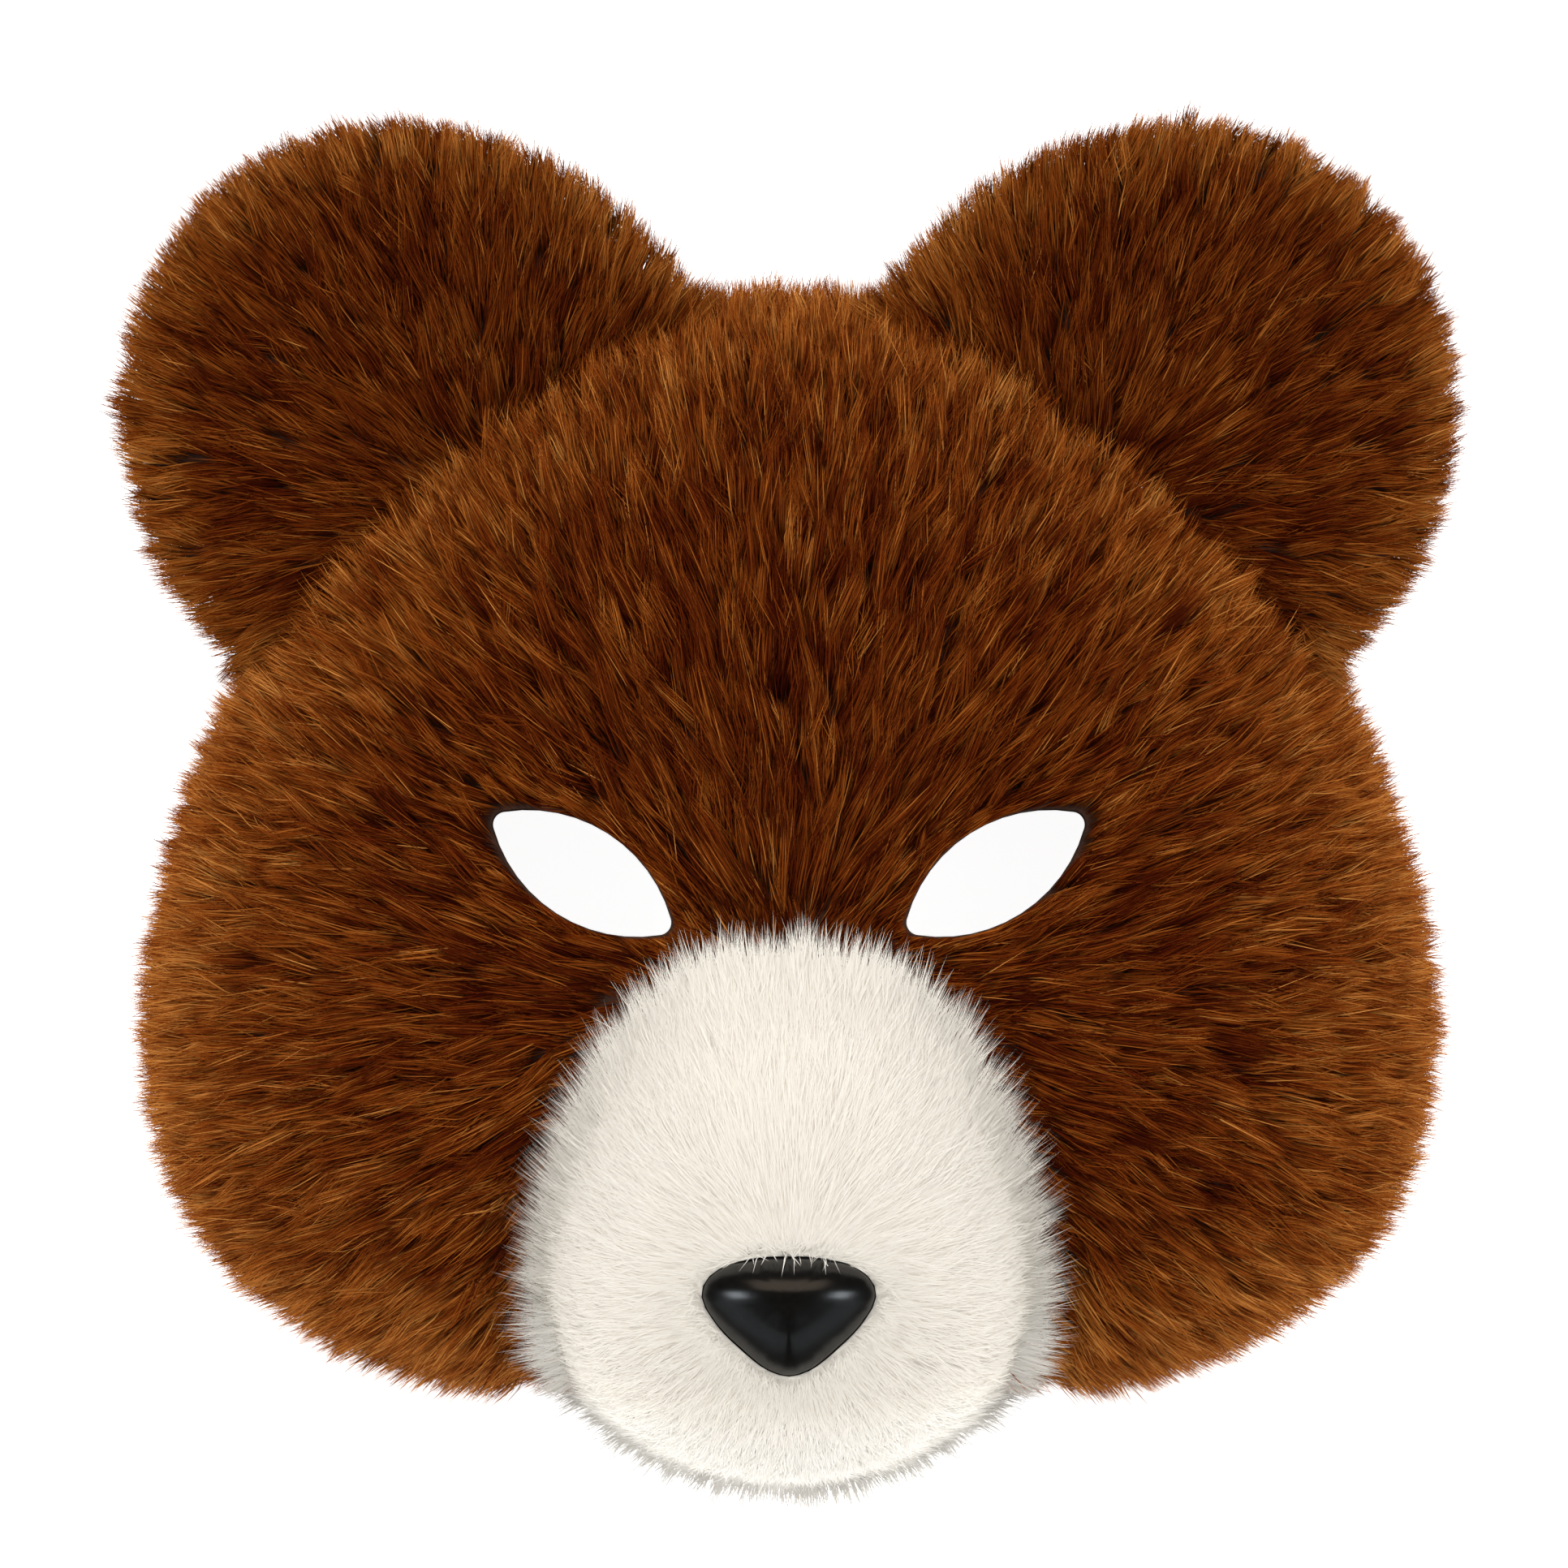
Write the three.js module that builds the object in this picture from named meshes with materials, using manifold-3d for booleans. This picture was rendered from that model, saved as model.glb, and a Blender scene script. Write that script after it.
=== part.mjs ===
// Bear mask: a moulded face mask covered in fur cloth, with padded ears and a plastic nose.
// It lies face up on its rim: the face looks along +Z, the top of the head along +Y.
// Lengths are millimetres and angles are degrees.

import * as THREE from 'three';
import { mergeVertices } from 'three/addons/utils/BufferGeometryUtils.js';
import Module from 'manifold-3d';

const wasm = await Module();
wasm.setup();

// Moulded shell and the cloth over it
const SHELL_WALL = 2.5;
const CLOTH_BACKING = 1.6;
const FACE_FUR_DEPTH = 6;
const MUZZLE_FUR_DEPTH = 4.4;
const FIT_GAP = 0.3;
const RIM_CLEARANCE = 0.6;

// Head dome, measured on the shell's outer face
const HEAD_REACH = 100;
const HEAD_DEPTH = 56;
const HEAD_MIDDLE_Y = -15;
const HEAD_SHOULDER = 0.78;

// Muzzle, measured on the shell's outer face
const MUZZLE_HALF_WIDTH = 40.3;
const MUZZLE_DEPTH = 84;
const MUZZLE_MIDDLE_Y = -66;
const MUZZLE_DROOP = 13;
const MUZZLE_SHOULDER = 0.85;

// Eye holes and the soft hollow around each
const EYE_SPACING = 71.6;
const EYE_Y = -12.4;
const EYE_LENGTH = 35.8;
const EYE_HEIGHT = 16.4;
const EYE_TIP_RADIUS = 2.2;
const EYE_SLANT = 32.6;
const EYE_FUR_CLEARANCE = 0.4;
const EYE_HOLLOW_DEPTH = 4;
const EYE_HOLLOW_RADIUS = 24;

// Padded ears, measured on the fur's dense pile
const EAR_RADIUS = 43.8;
const EAR_THICKNESS = 19;
const EAR_SPACING = 138.6;
const EAR_Y = 71.5;
const EAR_Z = 15;
const EAR_LEAN = 40;
const EAR_SHOULDER = 0.7;
const EAR_DISH = 2.5;
const EAR_DISH_RADIUS = 20;
const EAR_ROOT_Y = -34;
const EAR_COMB_RISE = 0.2;

// Nose and its hidden post
const NOSE_HALF_WIDTH = 14.9;
const NOSE_DEPTH = 8;
const NOSE_Y = -85.5;
const NOSE_SINK = 0.4;
const NOSE_CROWN = 1.6;
const NOSE_TILT = 11;
const NOSE_RIDGE_HEIGHT = 1.5;
const NOSE_RIDGE_WIDTH = 6;
const PIN_RADIUS = 3;
const PIN_BELOW_CENTRE = 1;
const PIN_DEPTH_IN_NOSE = 2;
const WASHER_RADIUS = 8;
const WASHER_THICKNESS = 2;
const WASHER_DROP = 3.4;

// Locks of fur: length, width and thickness of one lock, and the spacing of the rows
const FACE_LOCK = { length: 22, width: 15, height: 6.5, rows: 7, spacing: 20, lift: 15, rimLift: 50 };
const MUZZLE_LOCK = { length: 14, width: 11, height: 4.5, rows: 5, spacing: 15, lift: 14, rimLift: 40 };
const EAR_LOCK = { length: 13.5, width: 11, height: 5.5, rows: 4, spacing: 18, lift: 15, rimLift: 60 };
const MUZZLE_PILE = 2.5;
const EAR_PILE = 3;
const LOCK_SINK = 2.4;
const LOCK_BELLY = 0.38;
const LOCK_CREST = 0.62;
const LOCK_SPREAD = 0.22;
const RIM_LENGTH_SHARE = 0.6;
const FULL_LENGTH_CLIMB = 0.5;
const RIM_LIFT_POWER = 3;
const FIRST_ROW_SHARE = 0.4;
const SWAY_STRIDES = { row: 12.9898, index: 78.233, channel: 37.719, stretch: 43758.5453 };
const SWAY_CHANNELS = { size: 1, drift: 2 };

// Facets
const HEAD_FACETS = { sectors: 36, rings: 6 };
const MUZZLE_FACETS = { sectors: 24, rings: 6 };
const EAR_FACETS = { sectors: 20, rings: 4 };
const NOSE_FACETS = { sectors: 28, rings: 6 };
const PIN_FACETS = 16;
const EYE_ARC_STEPS = 6;
const SLOPE_STEP = 0.004;
const CROWN_CLIMB = 0.995;

// Outlines seen from the front: the angle is from the top, the reach a share of each form's own size
const HEAD_OUTLINE = [
  { angle: 0, reach: 0.942 },
  { angle: 15, reach: 0.929 },
  { angle: 30, reach: 0.894 },
  { angle: 45, reach: 0.889 },
  { angle: 60, reach: 0.912 },
  { angle: 75, reach: 0.94 },
  { angle: 90, reach: 0.989 },
  { angle: 105, reach: 1.059 },
  { angle: 120, reach: 1.089 },
  { angle: 135, reach: 1.019 },
  { angle: 150, reach: 0.907 },
  { angle: 165, reach: 0.818 },
  { angle: 180, reach: 0.791 },
];
const MUZZLE_OUTLINE = [
  { angle: 0, reach: 1.255 },
  { angle: 22.5, reach: 1.25 },
  { angle: 45, reach: 1.117 },
  { angle: 67.5, reach: 1.01 },
  { angle: 90, reach: 1 },
  { angle: 112.5, reach: 1.05 },
  { angle: 135, reach: 1.09 },
  { angle: 157.5, reach: 1.1 },
  { angle: 180, reach: 1.1 },
];
const EAR_OUTLINE = [
  { angle: 0, reach: 0.985 },
  { angle: 45, reach: 1 },
  { angle: 70, reach: 1.03 },
  { angle: 90, reach: 1.1 },
  { angle: 110, reach: 1.19 },
  { angle: 125, reach: 1.37 },
  { angle: 140, reach: 1.4 },
  { angle: 160, reach: 1.26 },
  { angle: 180, reach: 1.18 },
];
const NOSE_OUTLINE = [
  { angle: 0, reach: 0.465 },
  { angle: 25, reach: 0.51 },
  { angle: 49, reach: 0.637 },
  { angle: 65, reach: 0.815 },
  { angle: 78, reach: 0.955 },
  { angle: 88, reach: 0.995 },
  { angle: 97, reach: 0.962 },
  { angle: 106, reach: 0.905 },
  { angle: 120, reach: 0.845 },
  { angle: 135, reach: 0.81 },
  { angle: 150, reach: 0.825 },
  { angle: 165, reach: 0.872 },
  { angle: 180, reach: 0.905 },
];

const UP = new THREE.Vector3(0, 0, 1);
const CLOTH_OUTSIDE = FIT_GAP + CLOTH_BACKING;
const SIDES = [-1, 1];

// Reads an outline at any angle, smooth through its rows and alike on both sides
function reachAt(outline, angle) {
  const turn = THREE.MathUtils.radToDeg(Math.abs(Math.atan2(Math.sin(angle), Math.cos(angle))));
  const last = outline.length - 1;
  let row = 0;
  while (row < last - 1 && turn > outline[row + 1].angle) {
    row += 1;
  }
  const before = outline[Math.abs(row - 1)].reach;
  const here = outline[row].reach;
  const next = outline[row + 1].reach;
  const after = outline[row + 2 > last ? 2 * last - row - 2 : row + 2].reach;
  const share = (turn - outline[row].angle) / (outline[row + 1].angle - outline[row].angle);
  const slopeHere = (next - before) / 2;
  const slopeNext = (after - here) / 2;
  const rise = next - here;
  return here + share * (slopeHere + share * (3 * rise - 2 * slopeHere - slopeNext
    + share * (slopeHere + slopeNext - 2 * rise)));
}

// The head and the muzzle are domes on the rim's plane: each is an outline drawn in as it climbs
const head = {
  outline: HEAD_OUTLINE,
  reach: HEAD_REACH,
  depth: HEAD_DEPTH,
  shoulder: HEAD_SHOULDER,
  middleY: HEAD_MIDDLE_Y,
  droop: 0,
  fur: FACE_FUR_DEPTH,
  facets: HEAD_FACETS,
  hollowAt: eyeHollow,
};
const muzzle = {
  outline: MUZZLE_OUTLINE,
  reach: MUZZLE_HALF_WIDTH,
  depth: MUZZLE_DEPTH,
  shoulder: MUZZLE_SHOULDER,
  middleY: MUZZLE_MIDDLE_Y,
  droop: MUZZLE_DROOP,
  fur: MUZZLE_FUR_DEPTH,
  facets: MUZZLE_FACETS,
  hollowAt: () => 0,
};

// Depth of the soft hollow around the eyes
function eyeHollow(x, y) {
  const away = Math.hypot(Math.abs(x) - EYE_SPACING / 2, y - EYE_Y) / EYE_HOLLOW_RADIUS;
  return EYE_HOLLOW_DEPTH * Math.exp(-away * away);
}

// Point on a dome's outer face: angle from the top, climb from 0 at the rim to 1 at the crown
function domePoint(dome, angle, climb) {
  const turn = climb * Math.PI / 2;
  const drawnIn = Math.max(Math.cos(turn), 0) ** dome.shoulder;
  const raised = Math.sin(turn) ** dome.shoulder;
  const reach = dome.reach * reachAt(dome.outline, angle) * drawnIn;
  const x = reach * Math.sin(angle);
  const y = dome.middleY - dome.droop * Math.sin(turn) + reach * Math.cos(angle);
  return new THREE.Vector3(x, y, raised * (dome.depth - dome.hollowAt(x, y)));
}

// Direction that leaves a dome's face squarely, level at the rim
function domeNormal(dome, angle, climb) {
  if (climb > CROWN_CLIMB) {
    return UP.clone();
  }
  const low = Math.max(climb - SLOPE_STEP, 0);
  const upward = domePoint(dome, angle, climb + SLOPE_STEP).sub(domePoint(dome, angle, low));
  const around = domePoint(dome, angle + SLOPE_STEP, climb).sub(domePoint(dome, angle - SLOPE_STEP, climb));
  const normal = new THREE.Vector3().crossVectors(upward, around);
  if (climb === 0) {
    normal.z = 0;
  }
  return normal.normalize();
}

function offsetPoint(dome, angle, climb, offset) {
  return domePoint(dome, angle, climb).addScaledVector(domeNormal(dome, angle, climb), offset);
}

// Closed body from rings of points, listed from the lowest ring to the highest
function ringBody(rings, lowPole, highPole) {
  const sectors = rings[0].length;
  const points = [...rings.flat(), lowPole, highPole];
  const low = points.length - 2;
  const high = points.length - 1;
  const top = (rings.length - 1) * sectors;
  const faces = [];
  for (let i = 0; i < sectors; i += 1) {
    const next = (i + 1) % sectors;
    faces.push(low, i, next);
    faces.push(high, top + next, top + i);
    for (let base = 0; base < top; base += sectors) {
      const above = base + sectors;
      faces.push(base + i, above + i, base + next);
      faces.push(base + next, above + i, above + next);
    }
  }
  const geometry = new THREE.BufferGeometry();
  geometry.setAttribute('position', new THREE.Float32BufferAttribute(points.flatMap((p) => p.toArray()), 3));
  geometry.setIndex(faces);
  return geometry;
}

function aroundOnce(sectors, pointAt) {
  return Array.from({ length: sectors }, (_, i) => pointAt(2 * Math.PI * i / sectors));
}

// Solid under a dome's face moved out by an offset; a foot carries it below the rim's plane as a cutter
function domeSolid(dome, offset, foot = 0) {
  const { sectors, rings } = dome.facets;
  const rows = [];
  if (foot > 0) {
    rows.push(aroundOnce(sectors, (angle) => offsetPoint(dome, angle, 0, offset).setZ(-foot)));
  }
  for (let ring = 0; ring < rings; ring += 1) {
    const climb = ring / rings;
    rows.push(aroundOnce(sectors, (angle) => offsetPoint(dome, angle, climb, offset)));
  }
  const lowPole = new THREE.Vector3(0, dome.middleY, -foot);
  return solidFrom(ringBody(rows, lowPole, offsetPoint(dome, 0, 1, offset)));
}

// Whether a point lies in a dome grown by an offset
function insideDome(dome, point, offset) {
  const depth = dome.depth + offset;
  const climbed = Math.min(Math.max(point.z / depth, 0), 1) ** (1 / dome.shoulder);
  const y = point.y - dome.middleY + dome.droop * climbed;
  const reach = dome.reach * reachAt(dome.outline, Math.atan2(point.x, y)) + offset;
  const power = 2 / dome.shoulder;
  return (Math.hypot(point.x, y) / reach) ** power + (Math.max(point.z, 0) / depth) ** power < 1;
}

// Geometry to solid and back
function solidFrom(geometry) {
  const plain = geometry.clone();
  plain.deleteAttribute('normal');
  plain.deleteAttribute('uv');
  const merged = mergeVertices(plain);
  return new wasm.Manifold(new wasm.Mesh({
    numProp: 3,
    vertProperties: new Float32Array(merged.attributes.position.array),
    triVerts: new Uint32Array(merged.index.array),
  }));
}

function geometryFrom(solid) {
  const { vertProperties, triVerts } = solid.getMesh();
  const geometry = new THREE.BufferGeometry();
  geometry.setAttribute('position', new THREE.BufferAttribute(new Float32Array(vertProperties), 3));
  geometry.setIndex(new THREE.BufferAttribute(new Uint32Array(triVerts), 1));
  return geometry;
}

function meshFrom(solid, name, material) {
  const geometry = geometryFrom(solid);
  geometry.computeVertexNormals();
  const mesh = new THREE.Mesh(geometry, material);
  mesh.name = name;
  return mesh;
}

function joinAll(solids) {
  let queue = solids;
  while (queue.length > 1) {
    const joined = [];
    for (let i = 0; i < queue.length; i += 2) {
      joined.push(i + 1 < queue.length ? queue[i].add(queue[i + 1]) : queue[i]);
    }
    queue = joined;
  }
  return queue[0];
}

// Upright round post between two heights
function post(radius, x, y, bottom, top) {
  const geometry = new THREE.CylinderGeometry(radius, radius, top - bottom, PIN_FACETS);
  geometry.rotateX(Math.PI / 2);
  geometry.translate(x, y, (bottom + top) / 2);
  return solidFrom(geometry);
}

// Slab that keeps the fur off the surface that the rim rests on
function floorSlab() {
  const span = 2 * (HEAD_REACH + EAR_SPACING);
  const geometry = new THREE.BoxGeometry(span, span, HEAD_DEPTH);
  geometry.translate(0, 0, RIM_CLEARANCE - HEAD_DEPTH / 2);
  return solidFrom(geometry);
}

// Almond outline of an eye hole: two wide arcs joined by two tight ones
function eyeShape(grow) {
  const tip = EYE_TIP_RADIUS + grow;
  const half = EYE_HEIGHT / 2 + grow;
  const tipX = EYE_LENGTH / 2 + grow - tip;
  const bow = (tipX ** 2 + half ** 2 - tip ** 2) / (2 * (half - tip));
  const lean = Math.atan2(bow - half, tipX);
  const shape = new THREE.Shape();
  shape.absarc(0, half - bow, bow, lean, Math.PI - lean, false);
  shape.absarc(-tipX, 0, tip, Math.PI - lean, Math.PI + lean, false);
  shape.absarc(0, bow - half, bow, Math.PI + lean, 2 * Math.PI - lean, false);
  shape.absarc(tipX, 0, tip, -lean, lean, false);
  return shape;
}

function eyeCutter(side, grow) {
  const options = { depth: HEAD_DEPTH + MUZZLE_DEPTH, bevelEnabled: false, curveSegments: EYE_ARC_STEPS };
  const geometry = new THREE.ExtrudeGeometry(eyeShape(grow), options);
  geometry.rotateZ(side * THREE.MathUtils.degToRad(EYE_SLANT));
  geometry.translate(side * EYE_SPACING / 2, EYE_Y, -RIM_CLEARANCE);
  return solidFrom(geometry);
}

function insideEye(point, grow) {
  const turn = THREE.MathUtils.degToRad(EYE_SLANT);
  const x = Math.abs(point.x) - EYE_SPACING / 2;
  const y = point.y - EYE_Y;
  const along = Math.abs(x * Math.cos(turn) + y * Math.sin(turn)) / (EYE_LENGTH / 2 + grow);
  const across = Math.abs(y * Math.cos(turn) - x * Math.sin(turn)) / (EYE_HEIGHT / 2 + grow);
  return along ** 2 + across ** 2 < 1;
}

// Even, repeatable variation between -1 and 1 for the locks
function sway(row, index, channel) {
  const phase = row * SWAY_STRIDES.row + index * SWAY_STRIDES.index + channel * SWAY_STRIDES.channel;
  const wave = Math.sin(phase) * SWAY_STRIDES.stretch;
  return 2 * (wave - Math.floor(wave)) - 1;
}

// One lock: a four-sided spike with its root sunk in the cloth and its belly near the root
function lockBody(root, along, outward, size) {
  const side = new THREE.Vector3().crossVectors(along, outward).normalize();
  const crest = new THREE.Vector3().crossVectors(side, along);
  const belly = root.clone().addScaledVector(along, size.length * LOCK_BELLY);
  const tip = root.clone().addScaledVector(along, size.length);
  const left = belly.clone().addScaledVector(side, -size.width / 2);
  const top = belly.clone().addScaledVector(crest, size.height * LOCK_CREST);
  const right = belly.clone().addScaledVector(side, size.width / 2);
  const under = belly.clone().addScaledVector(crest, -size.height * (1 - LOCK_CREST));
  const geometry = new THREE.BufferGeometry();
  const points = [root, left, top, right, under, tip].flatMap((point) => point.toArray());
  geometry.setAttribute('position', new THREE.Float32BufferAttribute(points, 3));
  geometry.setIndex([0, 2, 1, 0, 3, 2, 0, 4, 3, 0, 1, 4, 5, 1, 2, 5, 2, 3, 5, 3, 4, 5, 4, 1]);
  return { body: solidFrom(geometry), samples: [root, left, top, right, tip] };
}

// Lock sizes at a place on its form: shorter and more upright toward the rim
function lockSize(size, climb, row, index) {
  const vary = 1 + LOCK_SPREAD * sway(row, index, SWAY_CHANNELS.size);
  const grown = RIM_LENGTH_SHARE + (1 - RIM_LENGTH_SHARE) * Math.min(climb / FULL_LENGTH_CLIMB, 1);
  const lift = size.lift + (size.rimLift - size.lift) * (1 - climb) ** RIM_LIFT_POWER;
  return {
    length: size.length * vary * grown,
    width: size.width,
    height: size.height * vary,
    lift: THREE.MathUtils.degToRad(lift),
  };
}

// Direction of a lock: the way the fur flows, lifted off its face
function lifted(flow, outward, lift) {
  return flow.clone().multiplyScalar(Math.cos(lift)).addScaledVector(outward, Math.sin(lift)).normalize();
}

// Places of the locks on one half of a form, row by row, alternate rows staggered
function lockPlaces(size, girthAt) {
  const places = [];
  for (let row = 0; row < size.rows; row += 1) {
    const climb = (row + FIRST_ROW_SHARE) / size.rows;
    const count = Math.max(Math.round(girthAt(climb) / 2 / size.spacing), 2);
    for (let index = 0; index < count; index += 1) {
      const onMiddle = index === 0 && row % 2 === 0;
      const drift = onMiddle ? 0 : LOCK_SPREAD * sway(row, index, SWAY_CHANNELS.drift);
      const angle = Math.PI * (index + 0.5 * (row % 2) + drift) / count;
      places.push({ row, index, climb, angle, sides: onMiddle ? [1] : SIDES });
    }
  }
  return places;
}

function domeLocks(dome, size, isBlocked) {
  const girthAt = (climb) => 2 * Math.PI * dome.reach * Math.cos(climb * Math.PI / 2) ** dome.shoulder;
  const bodies = [];
  for (const place of lockPlaces(size, girthAt)) {
    for (const side of place.sides) {
      const angle = side * place.angle;
      const root = offsetPoint(dome, angle, place.climb, FIT_GAP + dome.fur - LOCK_SINK);
      const outward = domeNormal(dome, angle, place.climb);
      const lower = domePoint(dome, angle, Math.max(place.climb - SLOPE_STEP, 0));
      const flow = lower.sub(domePoint(dome, angle, place.climb + SLOPE_STEP)).normalize();
      const shaped = lockSize(size, place.climb, place.row, place.index);
      const lock = lockBody(root, lifted(flow, outward, shaped.lift), outward, shaped);
      if (!lock.samples.some(isBlocked)) {
        bodies.push(lock.body);
      }
    }
  }
  return joinAll(bodies);
}

// Ear in its own frame: x across, y from the root to the tip, z through its thickness
function earPoint(angle, climb, offset) {
  const turn = climb * Math.PI / 2;
  const reach = (EAR_RADIUS * reachAt(EAR_OUTLINE, angle) + offset) * Math.cos(turn) ** EAR_SHOULDER;
  const rise = (EAR_THICKNESS / 2 + offset) * Math.sign(turn) * Math.abs(Math.sin(turn)) ** EAR_SHOULDER;
  const dish = climb > 0 ? EAR_DISH * Math.exp(-((reach / EAR_DISH_RADIUS) ** 2)) : 0;
  return new THREE.Vector3(reach * Math.sin(angle), reach * Math.cos(angle), rise - dish);
}

function insideEar(point, offset) {
  const turn = THREE.MathUtils.degToRad(EAR_LEAN);
  const x = Math.abs(point.x) - EAR_SPACING / 2;
  const y = point.y - EAR_Y;
  const across = x * Math.cos(turn) - y * Math.sin(turn);
  const along = x * Math.sin(turn) + y * Math.cos(turn);
  const reach = EAR_RADIUS * reachAt(EAR_OUTLINE, Math.atan2(across, along)) + offset;
  const half = EAR_THICKNESS / 2 + offset;
  const power = 2 / EAR_SHOULDER;
  return (Math.hypot(across, along) / reach) ** power + (Math.abs(point.z - EAR_Z) / half) ** power < 1;
}

// Locks of one ear in its own frame, combed away from the root on both faces and round the edge
function earLocks() {
  const bodies = [];
  const girthAt = (climb) => 2 * Math.PI * EAR_RADIUS * Math.cos(climb * Math.PI / 2) ** EAR_SHOULDER;
  const faces = [{ face: 1, skip: 0 }, { face: -1, skip: 1 }];
  for (const { face, skip } of faces) {
    for (const place of lockPlaces(EAR_LOCK, girthAt).filter(({ row }) => row >= skip)) {
      for (const side of place.sides) {
        const angle = side * place.angle;
        const climb = face * (place.row === 0 ? 0 : place.climb);
        const root = earPoint(angle, climb, -LOCK_SINK);
        const outward = earPoint(angle, climb, LOCK_SINK).sub(root).normalize();
        const comb = new THREE.Vector3(root.x, root.y - EAR_ROOT_Y, 0).normalize().setZ(face * EAR_COMB_RISE);
        const flow = comb.addScaledVector(outward, -comb.dot(outward)).normalize();
        const shaped = lockSize(EAR_LOCK, place.climb, place.row, place.index);
        if (root.y > EAR_ROOT_Y / 2) {
          bodies.push(lockBody(root, lifted(flow, outward, shaped.lift), outward, shaped).body);
        }
      }
    }
  }
  return joinAll(bodies);
}

function earSolid(side) {
  const { sectors, rings } = EAR_FACETS;
  const rows = [];
  for (let ring = 1; ring < 2 * rings; ring += 1) {
    rows.push(aroundOnce(sectors, (angle) => earPoint(angle, ring / rings - 1, 0)));
  }
  const padding = solidFrom(ringBody(rows, earPoint(0, -1, 0), earPoint(0, 1, 0)));
  const geometry = geometryFrom(padding.add(earLocks()));
  geometry.rotateZ(-side * THREE.MathUtils.degToRad(EAR_LEAN));
  geometry.translate(side * EAR_SPACING / 2, EAR_Y, EAR_Z);
  const seat = domeSolid(head, 2 * FIT_GAP + FACE_FUR_DEPTH, HEAD_DEPTH);
  return solidFrom(geometry).subtract(seat).subtract(floorSlab());
}

// The moulded wall: both domes in one, hollow, with the eye holes and the nose's pin hole
function shellSolid() {
  const outside = domeSolid(head, 0).add(domeSolid(muzzle, 0));
  const inside = domeSolid(head, -SHELL_WALL, SHELL_WALL).add(domeSolid(muzzle, -SHELL_WALL, SHELL_WALL));
  const eyes = eyeCutter(-1, 0).add(eyeCutter(1, 0));
  return outside.subtract(inside).subtract(eyes).subtract(pinHole());
}

function faceFurSolid() {
  const blocked = (point) => insideDome(muzzle, point, FIT_GAP + MUZZLE_FUR_DEPTH + MUZZLE_PILE)
    || insideEye(point, EYE_FUR_CLEARANCE)
    || insideEar(point, EAR_PILE + FIT_GAP);
  const eyes = eyeCutter(-1, EYE_FUR_CLEARANCE).add(eyeCutter(1, EYE_FUR_CLEARANCE));
  return domeSolid(head, FIT_GAP + FACE_FUR_DEPTH).add(domeLocks(head, FACE_LOCK, blocked))
    .subtract(domeSolid(head, FIT_GAP, HEAD_DEPTH))
    .subtract(domeSolid(muzzle, 2 * FIT_GAP + MUZZLE_FUR_DEPTH, HEAD_DEPTH))
    .subtract(eyes)
    .subtract(floorSlab());
}

function muzzleFurSolid() {
  const blocked = (point) => insideNose(point, 2 * FIT_GAP)
    || insideDome(head, point, FIT_GAP + FACE_FUR_DEPTH);
  const locks = domeLocks(muzzle, MUZZLE_LOCK, blocked)
    .subtract(domeSolid(head, 2 * FIT_GAP + FACE_FUR_DEPTH, HEAD_DEPTH));
  const noseSeat = noseBody(FIT_GAP).subtract(domeSolid(muzzle, CLOTH_OUTSIDE, HEAD_DEPTH));
  return domeSolid(muzzle, FIT_GAP + MUZZLE_FUR_DEPTH).add(locks)
    .subtract(domeSolid(muzzle, FIT_GAP, HEAD_DEPTH))
    .subtract(domeSolid(head, FIT_GAP, HEAD_DEPTH))
    .subtract(noseSeat)
    .subtract(pinHole())
    .subtract(floorSlab());
}

// Nose: a rounded triangle, pillowed to a crown and tilted as the muzzle slopes, with a ridge down
// its lower half
const noseEdgeZ = MUZZLE_DEPTH + CLOTH_OUTSIDE - NOSE_SINK;
const noseSlope = Math.tan(THREE.MathUtils.degToRad(NOSE_TILT));

function nosePoint(angle, climb, grow) {
  const turn = climb * Math.PI / 2;
  const widest = NOSE_HALF_WIDTH * reachAt(NOSE_OUTLINE, angle) + grow;
  const reach = widest * Math.max(Math.cos(turn), 0);
  const x = reach * Math.sin(angle);
  const y = reach * Math.cos(angle);
  const lowerHalf = THREE.MathUtils.smoothstep(-y, 0, NOSE_HALF_WIDTH / 2);
  const ridge = NOSE_RIDGE_HEIGHT * lowerHalf * Math.exp(-Math.abs(x) / NOSE_RIDGE_WIDTH);
  const rise = (NOSE_DEPTH + ridge + grow) * Math.sin(turn) ** NOSE_CROWN;
  return new THREE.Vector3(x, NOSE_Y + y, noseEdgeZ + noseSlope * y + rise);
}

function insideNose(point, grow) {
  const y = point.y - NOSE_Y;
  const reach = NOSE_HALF_WIDTH * reachAt(NOSE_OUTLINE, Math.atan2(point.x, y)) + grow;
  return Math.hypot(point.x, y) < reach && point.z > noseEdgeZ - NOSE_DEPTH;
}

function noseBody(grow) {
  const { sectors, rings } = NOSE_FACETS;
  const rows = [aroundOnce(sectors, (angle) => nosePoint(angle, 0, grow).setZ(noseEdgeZ - NOSE_DEPTH))];
  for (let ring = 0; ring < rings; ring += 1) {
    rows.push(aroundOnce(sectors, (angle) => nosePoint(angle, ring / rings, grow)));
  }
  const lowPole = new THREE.Vector3(0, NOSE_Y, noseEdgeZ - NOSE_DEPTH);
  return solidFrom(ringBody(rows, lowPole, nosePoint(0, 1, grow)));
}

function noseSolid() {
  return noseBody(0)
    .subtract(domeSolid(muzzle, CLOTH_OUTSIDE + FIT_GAP, HEAD_DEPTH))
    .subtract(pinHole());
}

// Hidden post: a stem in the nose's socket and a washer against the inside of the muzzle
const pinY = NOSE_Y - PIN_BELOW_CENTRE;
const pinTop = noseEdgeZ + PIN_DEPTH_IN_NOSE;
const pinBottom = MUZZLE_DEPTH - SHELL_WALL - FIT_GAP - WASHER_DROP - WASHER_THICKNESS;

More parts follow.
